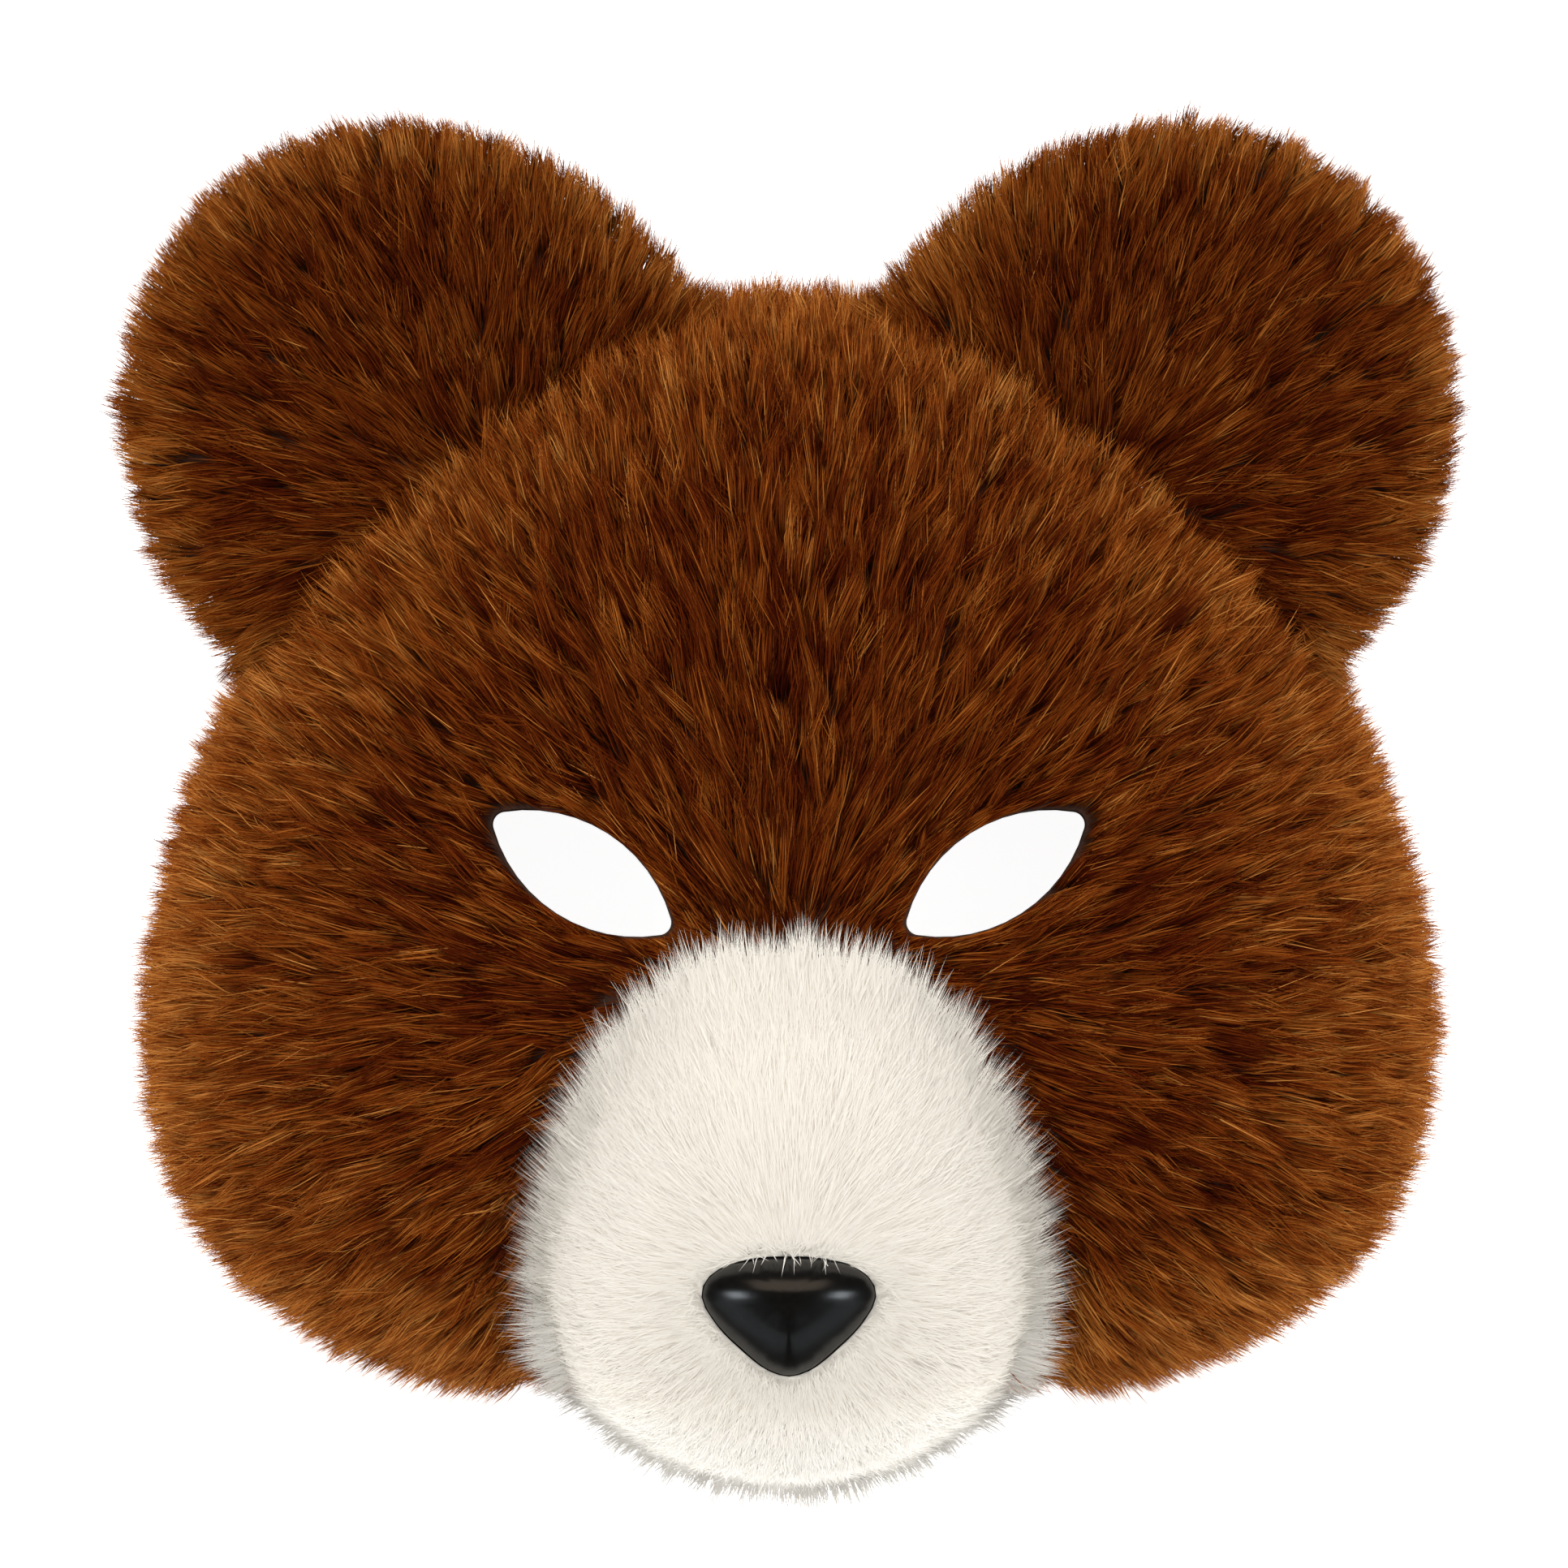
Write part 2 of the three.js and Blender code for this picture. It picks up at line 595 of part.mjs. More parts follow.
function pinHole() {
  return post(PIN_RADIUS + FIT_GAP, 0, pinY, pinBottom - WASHER_THICKNESS, pinTop + FIT_GAP);
}

function pinSolid() {
  const washer = post(WASHER_RADIUS, 0, pinY, pinBottom, MUZZLE_DEPTH)
    .intersect(domeSolid(muzzle, -SHELL_WALL - FIT_GAP));
  return post(PIN_RADIUS, 0, pinY, pinBottom, pinTop).add(washer);
}

// Materials
const brownFur = new THREE.MeshStandardMaterial({ color: 0x5d2b0c, roughness: 0.95, metalness: 0 });
const earFur = new THREE.MeshStandardMaterial({ color: 0x4d1e05, roughness: 0.95, metalness: 0 });
const creamFur = new THREE.MeshStandardMaterial({ color: 0xf1e9db, roughness: 0.95, metalness: 0 });
const feltBrown = new THREE.MeshStandardMaterial({ color: 0x3a2012, roughness: 0.9, metalness: 0 });
const glossBlack = new THREE.MeshStandardMaterial({ color: 0x141311, roughness: 0.18, metalness: 0 });
const plainBlack = new THREE.MeshStandardMaterial({ color: 0x1c1b1a, roughness: 0.55, metalness: 0 });

const mask = new THREE.Group();
mask.add(meshFrom(shellSolid(), 'mask_shell', feltBrown));
mask.add(meshFrom(faceFurSolid(), 'face_fur', brownFur));
mask.add(meshFrom(muzzleFurSolid(), 'muzzle_fur', creamFur));
mask.add(meshFrom(earSolid(-1), 'ear_left', earFur));
mask.add(meshFrom(earSolid(1), 'ear_right', earFur));
mask.add(meshFrom(noseSolid(), 'nose', glossBlack));
mask.add(meshFrom(pinSolid(), 'nose_pin', plainBlack));

// The origin is at the middle of the mask's length and width, on the rim's plane
const bounds = new THREE.Box3().setFromObject(mask);
mask.position.y = -(bounds.min.y + bounds.max.y) / 2;

export default mask;
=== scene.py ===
import math

import bpy
import numpy as np
from mathutils import Matrix, Vector
from mathutils.kdtree import KDTree


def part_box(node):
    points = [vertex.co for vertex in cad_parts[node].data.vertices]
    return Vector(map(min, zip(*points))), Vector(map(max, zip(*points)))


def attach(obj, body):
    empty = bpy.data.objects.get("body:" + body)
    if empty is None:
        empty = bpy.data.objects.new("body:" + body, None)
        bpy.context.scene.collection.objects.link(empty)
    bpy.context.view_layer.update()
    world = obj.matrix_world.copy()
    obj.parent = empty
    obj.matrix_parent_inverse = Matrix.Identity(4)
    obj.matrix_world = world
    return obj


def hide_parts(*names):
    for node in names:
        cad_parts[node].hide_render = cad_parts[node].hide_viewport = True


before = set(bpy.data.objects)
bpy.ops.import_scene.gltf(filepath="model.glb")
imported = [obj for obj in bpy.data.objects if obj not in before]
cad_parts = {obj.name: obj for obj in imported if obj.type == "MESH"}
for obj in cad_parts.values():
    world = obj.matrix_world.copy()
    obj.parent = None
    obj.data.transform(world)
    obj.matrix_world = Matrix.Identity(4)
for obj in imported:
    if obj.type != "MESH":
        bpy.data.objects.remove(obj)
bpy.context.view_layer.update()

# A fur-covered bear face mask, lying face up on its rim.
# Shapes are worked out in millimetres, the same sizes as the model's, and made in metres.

MM = 0.001
RNG = np.random.default_rng(11)

# Sizes shared with the model, in millimetres
FIT_GAP = 0.3
CLOTH_OUTSIDE = 1.9
FACE_FUR_DEPTH = 6.0
RIM_CLEARANCE = 0.6
EYE_SPACING = 71.6
EYE_Y = -12.4
EYE_LENGTH = 35.8
EYE_HEIGHT = 16.4
EYE_TIP_RADIUS = 2.2
EYE_SLANT = math.radians(32.6)
EYE_HOLLOW_DEPTH = 4.0
EYE_HOLLOW_RADIUS = 24.0
EAR_RADIUS = 43.8
EAR_THICKNESS = 19.0
EAR_SPACING = 138.6
EAR_Y = 71.5
EAR_Z = 15.0
EAR_LEAN = math.radians(40)
EAR_SHOULDER = 0.7
EAR_DISH = 2.5
EAR_DISH_RADIUS = 20.0
EAR_ROOT_Y = -34.0
NOSE_HALF_WIDTH = 14.9
NOSE_DEPTH = 8.0
NOSE_Y = -85.5
NOSE_SINK = 0.4
NOSE_CROWN = 1.6
NOSE_SLOPE = math.tan(math.radians(11))
NOSE_RIDGE_HEIGHT = 1.5
NOSE_RIDGE_WIDTH = 6.0
PIN_RADIUS = 3.0
PIN_BELOW_CENTRE = 1.0
PIN_Y = NOSE_Y - PIN_BELOW_CENTRE
PIN_DEPTH_IN_NOSE = 2.0

# Outlines from the front: angle from the top in degrees, reach as a share of the form's size
HEAD_OUTLINE = [(0, 0.942), (15, 0.929), (30, 0.894), (45, 0.889), (60, 0.912), (75, 0.94), (90, 0.989),
                (105, 1.059), (120, 1.089), (135, 1.019), (150, 0.907), (165, 0.818), (180, 0.791)]
MUZZLE_OUTLINE = [(0, 1.255), (22.5, 1.25), (45, 1.117), (67.5, 1.01), (90, 1.0), (112.5, 1.05),
                  (135, 1.09), (157.5, 1.1), (180, 1.1)]
EAR_OUTLINE = [(0, 0.985), (45, 1.0), (70, 1.03), (90, 1.1), (110, 1.19), (125, 1.37), (140, 1.4),
               (160, 1.26), (180, 1.18)]
NOSE_OUTLINE = [(0, 0.465), (25, 0.51), (49, 0.637), (65, 0.815), (78, 0.955), (88, 0.995), (97, 0.962),
                (106, 0.905), (120, 0.845), (135, 0.81), (150, 0.825), (165, 0.872), (180, 0.905)]

HEAD = {"outline": HEAD_OUTLINE, "reach": 100.0, "depth": 56.0, "shoulder": 0.78, "middle": -15.0,
        "droop": 0.0, "hollow": EYE_HOLLOW_DEPTH}
MUZZLE = {"outline": MUZZLE_OUTLINE, "reach": 40.3, "depth": 84.0, "shoulder": 0.85, "middle": -66.0,
          "droop": 13.0, "hollow": 0.0}
NOSE_EDGE_Z = MUZZLE["depth"] + CLOTH_OUTSIDE - NOSE_SINK

# The model's origin is at the middle of its length, so its sizes in Y are moved by this much
SHIFT_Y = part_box("mask_shell")[1][1] / MM - (HEAD["middle"] + HEAD["reach"] * HEAD_OUTLINE[0][1])

# Steps and limits of the surfaces
UP = np.array([0.0, 0.0, 1.0])
SLOPE_STEP = 0.004
CROWN_CLIMB = 0.995
DROOP_ROUNDS = 12
SCATTER_GRID = (721, 301)

# Bodies under the fur, each moved out from its shell's face, and the reach of the cutters
FACE_UNDERCOAT = 4.0
FACE_SEAT_AT_MUZZLE = 2.4
MUZZLE_UNDERCOAT = 3.6
EAR_UNDERCOAT = -2.4
EYE_CUT_CLEARANCE = 0.3
CUTTER_FOOT = 40.0
EYE_CUT_HEIGHTS = (-5.0, 120.0)
PIN_CUT_BOTTOM = 60.0
PIN_CUT_TOP = 120.0
FLOOR_CUT_RADIUS = 400.0
FLOOR_CUT_BOTTOM = -50.0

# Fur. Lengths are millimetres, lifts are degrees, and tones run from 0, the darkest, to 1, the
# lightest. A pair of numbers is the range over which a setting comes in or goes, apart from a flow's
# centre, which is a place.
# The face's fur is made lighter toward its outline and at its steep rim: painted rim light.
FACE_FUR = {
    "strands": 220000, "root": 3.4, "flow_centre": (0.0, -37.0), "fall": 0.35,
    "muzzle_clearance": 1.0, "eye_clearance": 0.2, "eye_trim": 0.15, "dense_by_eye": 1.5,
    "by_eye": (0.5, 6.0), "raised_by_eye": 0.5, "muzzle_reach": 11.0,
    "length": 13.0, "shorter_at_rim": 4.5, "shorter_by_eye": 0.3, "share_by_muzzle": 0.75,
    "lift": 20, "lift_at_rim": 34, "lift_by_eye": 14, "drop_by_muzzle": 14,
    "tone": 0.285, "painted_light_outward": 0.22, "outward": (0.55, 1.02), "painted_light_at_rim": 0.2,
    "tone_low": 0.04, "low": (-60, -90), "tone_high": 0.07, "high": (30, 65),
}
# The muzzle's fur is made lighter at its top and at its chin and low foot: painted light.
MUZZLE_FUR = {
    "strands": 90000, "root": 3.3, "flow_centre": (0.0, -84.0), "fall": 0.4, "rise_at_foot": 0.75,
    "head_clearance": 5.0, "nose_clearance": 0.2, "nose_trim": 0.05, "dense_at_foot": 1.2,
    "dense_foot": (0, 8), "foot": (0, 9), "rim": (0, 0.3), "rim_share": 0.5, "by_nose": (0.5, 7.0),
    "length": 9.0, "longer_at_foot": 0.6, "shorter_by_nose": 3.5,
    "lift": 8, "lift_at_foot": 52, "lift_by_nose": 30,
    "tone": 0.5, "tone_high": 0.12, "high": (-75, -35), "tone_low": 0.32, "chin": (-106, -96),
    "low_foot": (-95, -70), "shaded_up": 2.6,
}
COLLAR_FUR = {
    "strands": 5000, "root": 3.5, "nearest": 0.15, "spread": 2.4, "dome_radius": 22.0,
    "top_angle": 0.8, "top_share": 0.09, "length": 3.8, "length_over_top": 6.0,
    "lift": 38.0, "lift_over_top": 50.0, "tone": 0.62, "nose_trim": 0.05,
}
# The ear's fur is made lighter toward its outer edge: painted rim light.
EAR_FUR = {
    "strands": 55000, "root": -3.0, "head_clearance": 3.0, "comb_rise": 3.0,
    "length": 11.0, "shorter_at_edge": 3.0, "lift": 20, "lift_at_edge": 34,
    "tone": 0.3, "painted_light_at_tip": 0.34, "tip": (0.4, 1.0),
}

# A strand of the face is left out when its tip and its belly lie inside an ear moved out by these
HIDDEN_IN_EAR = {"tip": -1.0, "belly": 1.0}

# The face's strands are in three meshes, with this share of them in the middle one
FACE_MIDDLE_SHARE = 0.36

# One strand: its width in millimetres, the spread of its roll in radians and its shading's softness
BROWN_BLADE = {"width": 0.2, "roll": 0.5, "softness": 0.3}
CREAM_BLADE = {"width": 0.16, "roll": 0.15, "softness": 1.0}
COLLAR_BLADE = {"width": 0.15, "roll": 0.2, "softness": 1.0}

# Strands: where each bends, how far strays and clumps depart, and the limits of their draws
BELLY = 0.45
STRAY_SWAY = 1.5
STRAY_PULL = 0.3
BELLY_PULL = 0.4
PULL_SPREAD = 0.15
PULL_LIMITS = (0, 0.95)
LENGTH_LIMITS = (0.45, 1.5)
TONE_LIMITS = (0.02, 0.98)
ROLL_LIMITS = (-1.3, 1.3)
WIDTH_SPREAD = 0.2
WIDTH_LIMITS = (0.5, 1.6)
BAKE_ENDS = (0.02, 0.98)
BAKE_HALF_WIDTH = 0.008

# Sockets of Blender's Mix node when it mixes colours
MIX_FIRST, MIX_SECOND, MIX_RESULT = 6, 7, 2


# Camera, light and floor

def add_camera():
    """A long lens straight above the face, framed as the photograph is."""
    frame_width = 272.0
    distance = 12000.0
    height_in_focus = 30.0
    middle_x, middle_y = -0.84, 3.1
    sensor_width = 36.0
    data = bpy.data.cameras.new("camera")
    data.sensor_width = sensor_width
    data.lens = sensor_width * (distance - height_in_focus) / frame_width
    data.clip_start = 0.05
    data.clip_end = 40.0
    camera = bpy.data.objects.new("camera", data)
    camera.location = (middle_x * MM, (middle_y + SHIFT_Y) * MM, distance * MM)
    bpy.context.collection.objects.link(camera)
    bpy.context.scene.camera = camera


def add_light(name, place, size, power, tint=(1.0, 1.0, 1.0), gleam=False):
    """A soft light aimed at the face, placed in metres; a gleam shows only in the gloss."""
    aim = Vector((0.0, -0.03, 0.03))
    data = bpy.data.lights.new(name, "AREA")
    data.shape = "RECTANGLE"
    data.size, data.size_y = size
    data.energy = power
    data.color = tint
    light = bpy.data.objects.new(name, data)
    light.location = place
    light.rotation_euler = (aim - Vector(place)).to_track_quat("-Z", "Y").to_euler()
    light.visible_glossy = gleam
    light.visible_diffuse = not gleam
    bpy.context.collection.objects.link(light)


def add_floor():
    """A plain white floor that gives off a little light of its own, as a light table does."""
    bpy.ops.mesh.primitive_plane_add(size=6.0, location=(0.0, 0.0, 0.0))
    floor = bpy.context.object
    floor.name = "floor"
    material = bpy.data.materials.new("floor_white")
    material.use_nodes = True
    shader = material.node_tree.nodes["Principled BSDF"]
    shader.inputs["Base Color"].default_value = (0.8, 0.8, 0.8, 1.0)
    shader.inputs["Roughness"].default_value = 0.9
    shader.inputs["Emission Color"].default_value = (1.0, 1.0, 1.0, 1.0)
    shader.inputs["Emission Strength"].default_value = 0.93
    floor.data.materials.append(material)
    floor.visible_glossy = False


def add_studio():
    """Even light from the whole room, soft lights round the face and their gleams on the nose."""
    world = bpy.data.worlds.new("studio")
    world.use_nodes = True
    tree = world.node_tree
    direction = tree.nodes.new("ShaderNodeTexCoord")
    height = tree.nodes.new("ShaderNodeSeparateXYZ")
    ramp = add_ramp(tree, [(0.0, grey(0.95)), (0.45, grey(0.8)), (1.0, grey(0.5))])
    tree.links.new(direction.outputs["Generated"], height.inputs["Vector"])
    tree.links.new(height.outputs["Z"], ramp.inputs["Fac"])
    tree.links.new(ramp.outputs["Color"], tree.nodes["Background"].inputs["Color"])
    world.cycles_visibility.glossy = False
    bpy.context.scene.world = world
    bpy.context.scene.view_settings.view_transform = "Standard"
    cool = (0.86, 0.94, 1.0)
    warm = (1.0, 0.8, 0.62)
    for name, side in (("left", -1), ("right", 1)):
        add_light(name, (side * 1.05, 0.25, 1.0), (0.9, 0.9), 10.5)
    add_light("top", (0.0, 1.1, 0.85), (1.0, 1.0), 4.5)
    add_light("low", (0.0, -1.3, 0.95), (1.2, 1.2), 6.5)
    for name, side in (("left", -1), ("right", 1)):
        add_light(name + "_gleam", (side * 1.3, -0.45, 0.8), (0.6, 0.5), 8.5, cool, True)
    add_light("top_gleam", (0.0, 0.72, 1.15), (2.0, 1.3), 13.0, warm, True)
    for name, side in (("left", -1), ("right", 1)):
        add_light(name + "_low_gleam", (side * 0.85, -1.1, 0.2), (1.2, 0.7), 1.4, cool, True)


# Surfaces of the mask, in millimetres

def reach_at(outline, angle):
    """An outline's reach at any angle, smooth through its rows and alike on both sides."""
    turns, reaches = np.array(outline).T
    turn = np.degrees(np.abs(np.arctan2(np.sin(angle), np.cos(angle))))
    last = len(turns) - 1
    row = np.clip(np.searchsorted(turns, turn) - 1, 0, last - 1)
    before = reaches[np.abs(row - 1)]
    here = reaches[row]
    after = reaches[np.where(row + 2 > last, 2 * last - row - 2, row + 2)]
    ahead = reaches[row + 1]
    share = (turn - turns[row]) / (turns[row + 1] - turns[row])
    slope_here = (ahead - before) / 2
    slope_ahead = (after - here) / 2
    rise = ahead - here
    return here + share * (slope_here + share * (3 * rise - 2 * slope_here - slope_ahead
                                                 + share * (slope_here + slope_ahead - 2 * rise)))


def unit(vectors):
    return vectors / np.maximum(np.linalg.norm(vectors, axis=-1, keepdims=True), 1e-9)


def smooth(low, high, value):
    share = np.clip((value - low) / (high - low), 0.0, 1.0)
    return share * share * (3 - 2 * share)


def dome_point(dome, angle, climb):
    """Point on a dome's face: angle from the top, climb from 0 at the rim to 1 at the crown."""
    turn = climb * math.pi / 2
    drawn_in = np.maximum(np.cos(turn), 0) ** dome["shoulder"]
    raised = np.sin(turn) ** dome["shoulder"]
    reach = dome["reach"] * reach_at(dome["outline"], angle) * drawn_in
    x = reach * np.sin(angle)
    y = dome["middle"] - dome["droop"] * np.sin(turn) + reach * np.cos(angle)
    away = np.hypot(np.abs(x) - EYE_SPACING / 2, y - EYE_Y) / EYE_HOLLOW_RADIUS
    z = raised * (dome["depth"] - dome["hollow"] * np.exp(-away * away))
    return np.stack([x, y, z], axis=-1)


def square_to(point_at, angle, climb, low_climb):
    """Direction that leaves a face squarely, straight up or down at its ends."""
    upward = (point_at(angle, np.clip(climb + SLOPE_STEP, low_climb, 1))
              - point_at(angle, np.clip(climb - SLOPE_STEP, low_climb, 1)))
    around = point_at(angle + SLOPE_STEP, climb) - point_at(angle - SLOPE_STEP, climb)
    normal = np.cross(upward, around)
    at_end = (np.abs(climb) > CROWN_CLIMB)[..., None]
    ends = np.sign(climb)[..., None] * UP
    return unit(np.where(at_end, ends, normal))


def dome_normal(dome, angle, climb):
    normal = square_to(lambda a, c: dome_point(dome, a, c), angle, climb, 0.0)
    normal[..., 2] = np.where(climb <= 0, 0.0, normal[..., 2])
    return unit(normal)


def dome_face(dome, offset):
    """Function from angle and climb to the point on a dome's face moved out by an offset."""
    def point_at(angle, climb):
        return dome_point(dome, angle, climb) + offset * dome_normal(dome, angle, climb)
    return point_at


def dome_height(dome, x, y, offset):
    """Height of a dome's face, moved out by an offset, over a place; 0 outside it."""
    angle = np.arctan2(x, y - dome["middle"])
    reach = dome["reach"] * reach_at(dome["outline"], angle) + offset
    share = np.clip(np.hypot(x, y - dome["middle"]) / reach, 0, 1)
    raised = np.sqrt(1 - share ** (2 / dome["shoulder"])) ** dome["shoulder"]
    away = np.hypot(np.abs(x) - EYE_SPACING / 2, y - EYE_Y) / EYE_HOLLOW_RADIUS
    return raised * (dome["depth"] + offset - dome["hollow"] * np.exp(-away * away))


def drooped_height(x, y, offset):
    """Height of the muzzle's face, moved out by an offset, over a place near its crown."""
    depth = MUZZLE["depth"] + offset
    shoulder = MUZZLE["shoulder"]
    height = np.full(np.shape(x), depth)
    for _ in range(DROOP_ROUNDS):
        climbed = np.clip(height / depth, 0, 1) ** (1 / shoulder)
        middle = MUZZLE["middle"] - MUZZLE["droop"] * climbed
        reach = MUZZLE["reach"] * reach_at(MUZZLE_OUTLINE, np.arctan2(x, y - middle)) + offset
        share = np.clip(np.hypot(x, y - middle) / reach, 0, 1)
        height = depth * np.sqrt(1 - share ** (2 / shoulder)) ** shoulder
    return height


def inside_dome(dome, points, offset):
    depth = dome["depth"] + offset
    x, y, z = points[..., 0], points[..., 1], points[..., 2]
    climbed = np.clip(z / depth, 0, 1) ** (1 / dome["shoulder"])
    ahead = y - dome["middle"] + dome["droop"] * climbed
    reach = dome["reach"] * reach_at(dome["outline"], np.arctan2(x, ahead)) + offset
    power = 2 / dome["shoulder"]
    return (np.hypot(x, ahead) / reach) ** power + (np.maximum(z, 0) / depth) ** power < 1


def eye_gap(points):
    """Distance of points from an eye hole's edge seen from the front; negative over the hole."""
    half = EYE_HEIGHT / 2
    tip_x = EYE_LENGTH / 2 - EYE_TIP_RADIUS
    bow = (tip_x ** 2 + half ** 2 - EYE_TIP_RADIUS ** 2) / (2 * (half - EYE_TIP_RADIUS))
    x = np.abs(points[..., 0]) - EYE_SPACING / 2
    y = points[..., 1] - EYE_Y
    along = np.abs(x * math.cos(EYE_SLANT) + y * math.sin(EYE_SLANT))
    across = np.abs(y * math.cos(EYE_SLANT) - x * math.sin(EYE_SLANT))
    return np.maximum(np.hypot(along, across + bow - half) - bow, along - EYE_LENGTH / 2)


def nose_gap(points):
    """Distance of points from the nose's outline seen from the front; negative within it."""
    x, y = points[..., 0], points[..., 1] - NOSE_Y
    return np.hypot(x, y) - NOSE_HALF_WIDTH * reach_at(NOSE_OUTLINE, np.arctan2(x, y))


def inside_nose(points, grow):
    return (nose_gap(points) < grow) & (points[..., 2] > NOSE_EDGE_Z - NOSE_DEPTH)


def ear_local(angle, climb, offset):
    """Ear in its own frame: x across, y from the root to the tip, z through its thickness."""
    turn = climb * math.pi / 2
    drawn_in = np.maximum(np.cos(turn), 0) ** EAR_SHOULDER
    reach = (EAR_RADIUS * reach_at(EAR_OUTLINE, angle) + offset) * drawn_in
    rise = (EAR_THICKNESS / 2 + offset) * np.sign(turn) * np.abs(np.sin(turn)) ** EAR_SHOULDER
    dish = np.where(climb > 0, EAR_DISH * np.exp(-((reach / EAR_DISH_RADIUS) ** 2)), 0.0)
    return np.stack([reach * np.sin(angle), reach * np.cos(angle), rise - dish], axis=-1)


def ear_matrix(side):
    """From an ear's own frame to the mask's, in millimetres."""
    place = Matrix.Translation((side * EAR_SPACING / 2, EAR_Y, EAR_Z))
    return np.array(place @ Matrix.Rotation(-side * EAR_LEAN, 4, "Z"))


def moved(points, matrix):
    return points @ matrix[:3, :3].T + matrix[:3, 3]


def inside_ear(points, offset):
    x = np.abs(points[..., 0]) - EAR_SPACING / 2
    y = points[..., 1] - EAR_Y
    across = x * math.cos(EAR_LEAN) - y * math.sin(EAR_LEAN)
    along = x * math.sin(EAR_LEAN) + y * math.cos(EAR_LEAN)
    reach = EAR_RADIUS * reach_at(EAR_OUTLINE, np.arctan2(across, along)) + offset
    half = EAR_THICKNESS / 2 + offset
    power = 2 / EAR_SHOULDER
    up = np.abs(points[..., 2] - EAR_Z)
    return (np.hypot(across, along) / reach) ** power + (up / half) ** power < 1


def nose_point(angle, climb, grow):
    turn = climb * math.pi / 2
    widest = NOSE_HALF_WIDTH * reach_at(NOSE_OUTLINE, angle) + grow
    reach = widest * np.maximum(np.cos(turn), 0)
    x = reach * np.sin(angle)
    y = reach * np.cos(angle)
    lower_half = smooth(0, NOSE_HALF_WIDTH / 2, -y)
    ridge = NOSE_RIDGE_HEIGHT * lower_half * np.exp(-np.abs(x) / NOSE_RIDGE_WIDTH)
    rise = (NOSE_DEPTH + ridge + grow) * np.sin(turn) ** NOSE_CROWN
    return np.stack([x, NOSE_Y + y, NOSE_EDGE_Z + NOSE_SLOPE * y + rise], axis=-1)


# Closed bodies and cuts

def to_metres(points):
    return (np.asarray(points, dtype=float) + np.array([0.0, SHIFT_Y, 0.0])) * MM


def add_object(name, mesh):
    made = bpy.data.objects.new(name, mesh)
    bpy.context.collection.objects.link(made)
    return made


def ring_object(name, rings, low_pole, high_pole):
    """Closed body from rings of points, lowest first, and its two end points."""
    sectors = len(rings[0])
    points = np.concatenate([np.concatenate(rings), [low_pole, high_pole]])
    low, high = len(points) - 2, len(points) - 1
    top = (len(rings) - 1) * sectors
    faces = []
    for i in range(sectors):
        ahead = (i + 1) % sectors
        faces.append((low, i, ahead))
        faces.append((high, top + ahead, top + i))
        for base in range(0, top, sectors):
            above = base + sectors
            faces.append((base + i, above + i, above + ahead, base + ahead))
    mesh = bpy.data.meshes.new(name)
    mesh.from_pydata(to_metres(points).tolist(), [], faces)
    mesh.polygons.foreach_set("use_smooth", np.ones(len(faces), dtype=bool))
    return add_object(name, mesh)


def dome_body(name, dome, offset, foot, sectors=120, rings=36):
    """Solid under a dome's face moved out by an offset; a foot carries it below the rim as a cutter."""
    angles = 2 * math.pi * np.arange(sectors) / sectors
    point_at = dome_face(dome, offset)
    rows = [point_at(angles, np.full(sectors, ring / rings)) for ring in range(rings)]
    if foot > 0:
        rows.insert(0, np.column_stack([rows[0][:, :2], np.full(sectors, -foot)]))
    crown = point_at(np.zeros(1), np.ones(1))[0]
    return ring_object(name, rows, [0.0, dome["middle"], -foot], crown)


def prism(name, outline, low, high):
    """Upright body between two heights over an outline of points, listed clockwise from above."""
    rows = [np.column_stack([outline, np.full(len(outline), z)]) for z in (low, high)]
    middle = np.mean(outline, axis=0)
    return ring_object(name, rows, [*middle, low], [*middle, high])


def eye_outline(side, grow, steps=24):
    """Points round an eye hole, two wide arcs joined by two tight ones."""
    tip = EYE_TIP_RADIUS + grow
    half = EYE_HEIGHT / 2 + grow
    tip_x = EYE_LENGTH / 2 + grow - tip
    bow = (tip_x ** 2 + half ** 2 - tip ** 2) / (2 * (half - tip))
    lean = math.atan2(bow - half, tip_x)
    arcs = [(0, half - bow, bow, lean, math.pi - lean), (-tip_x, 0, tip, math.pi - lean, math.pi + lean),
            (0, bow - half, bow, math.pi + lean, 2 * math.pi - lean), (tip_x, 0, tip, -lean, lean)]
    points = []
    for centre_x, centre_y, radius, start, end in arcs:
        turn = np.linspace(start, end, steps, endpoint=False)
        points.append(np.column_stack([centre_x + radius * np.cos(turn),
                                       centre_y + radius * np.sin(turn)]))
    points = np.concatenate(points)[::-1]
    turn = side * EYE_SLANT
    spin = np.array([[math.cos(turn), math.sin(turn)], [-math.sin(turn), math.cos(turn)]])
    return points @ spin + np.array([side * EYE_SPACING / 2, EYE_Y])


def round_outline(radius, centre, steps=32):
    turn = 2 * math.pi * np.arange(steps) / steps
    return np.column_stack([centre[0] + radius * np.sin(turn), centre[1] + radius * np.cos(turn)])


def cut(piece, *cutters):
    """Takes the cutters out of a piece and removes them."""
    for cutter in cutters:
        modifier = piece.modifiers.new("cut", "BOOLEAN")
        modifier.operation = "DIFFERENCE"
        modifier.solver = "MANIFOLD"
        modifier.object = cutter
        graph = bpy.context.evaluated_depsgraph_get()
        mesh = bpy.data.meshes.new_from_object(piece.evaluated_get(graph))
        piece.modifiers.clear()
        piece.data = mesh
        bpy.data.objects.remove(cutter)
    return piece


# Fur

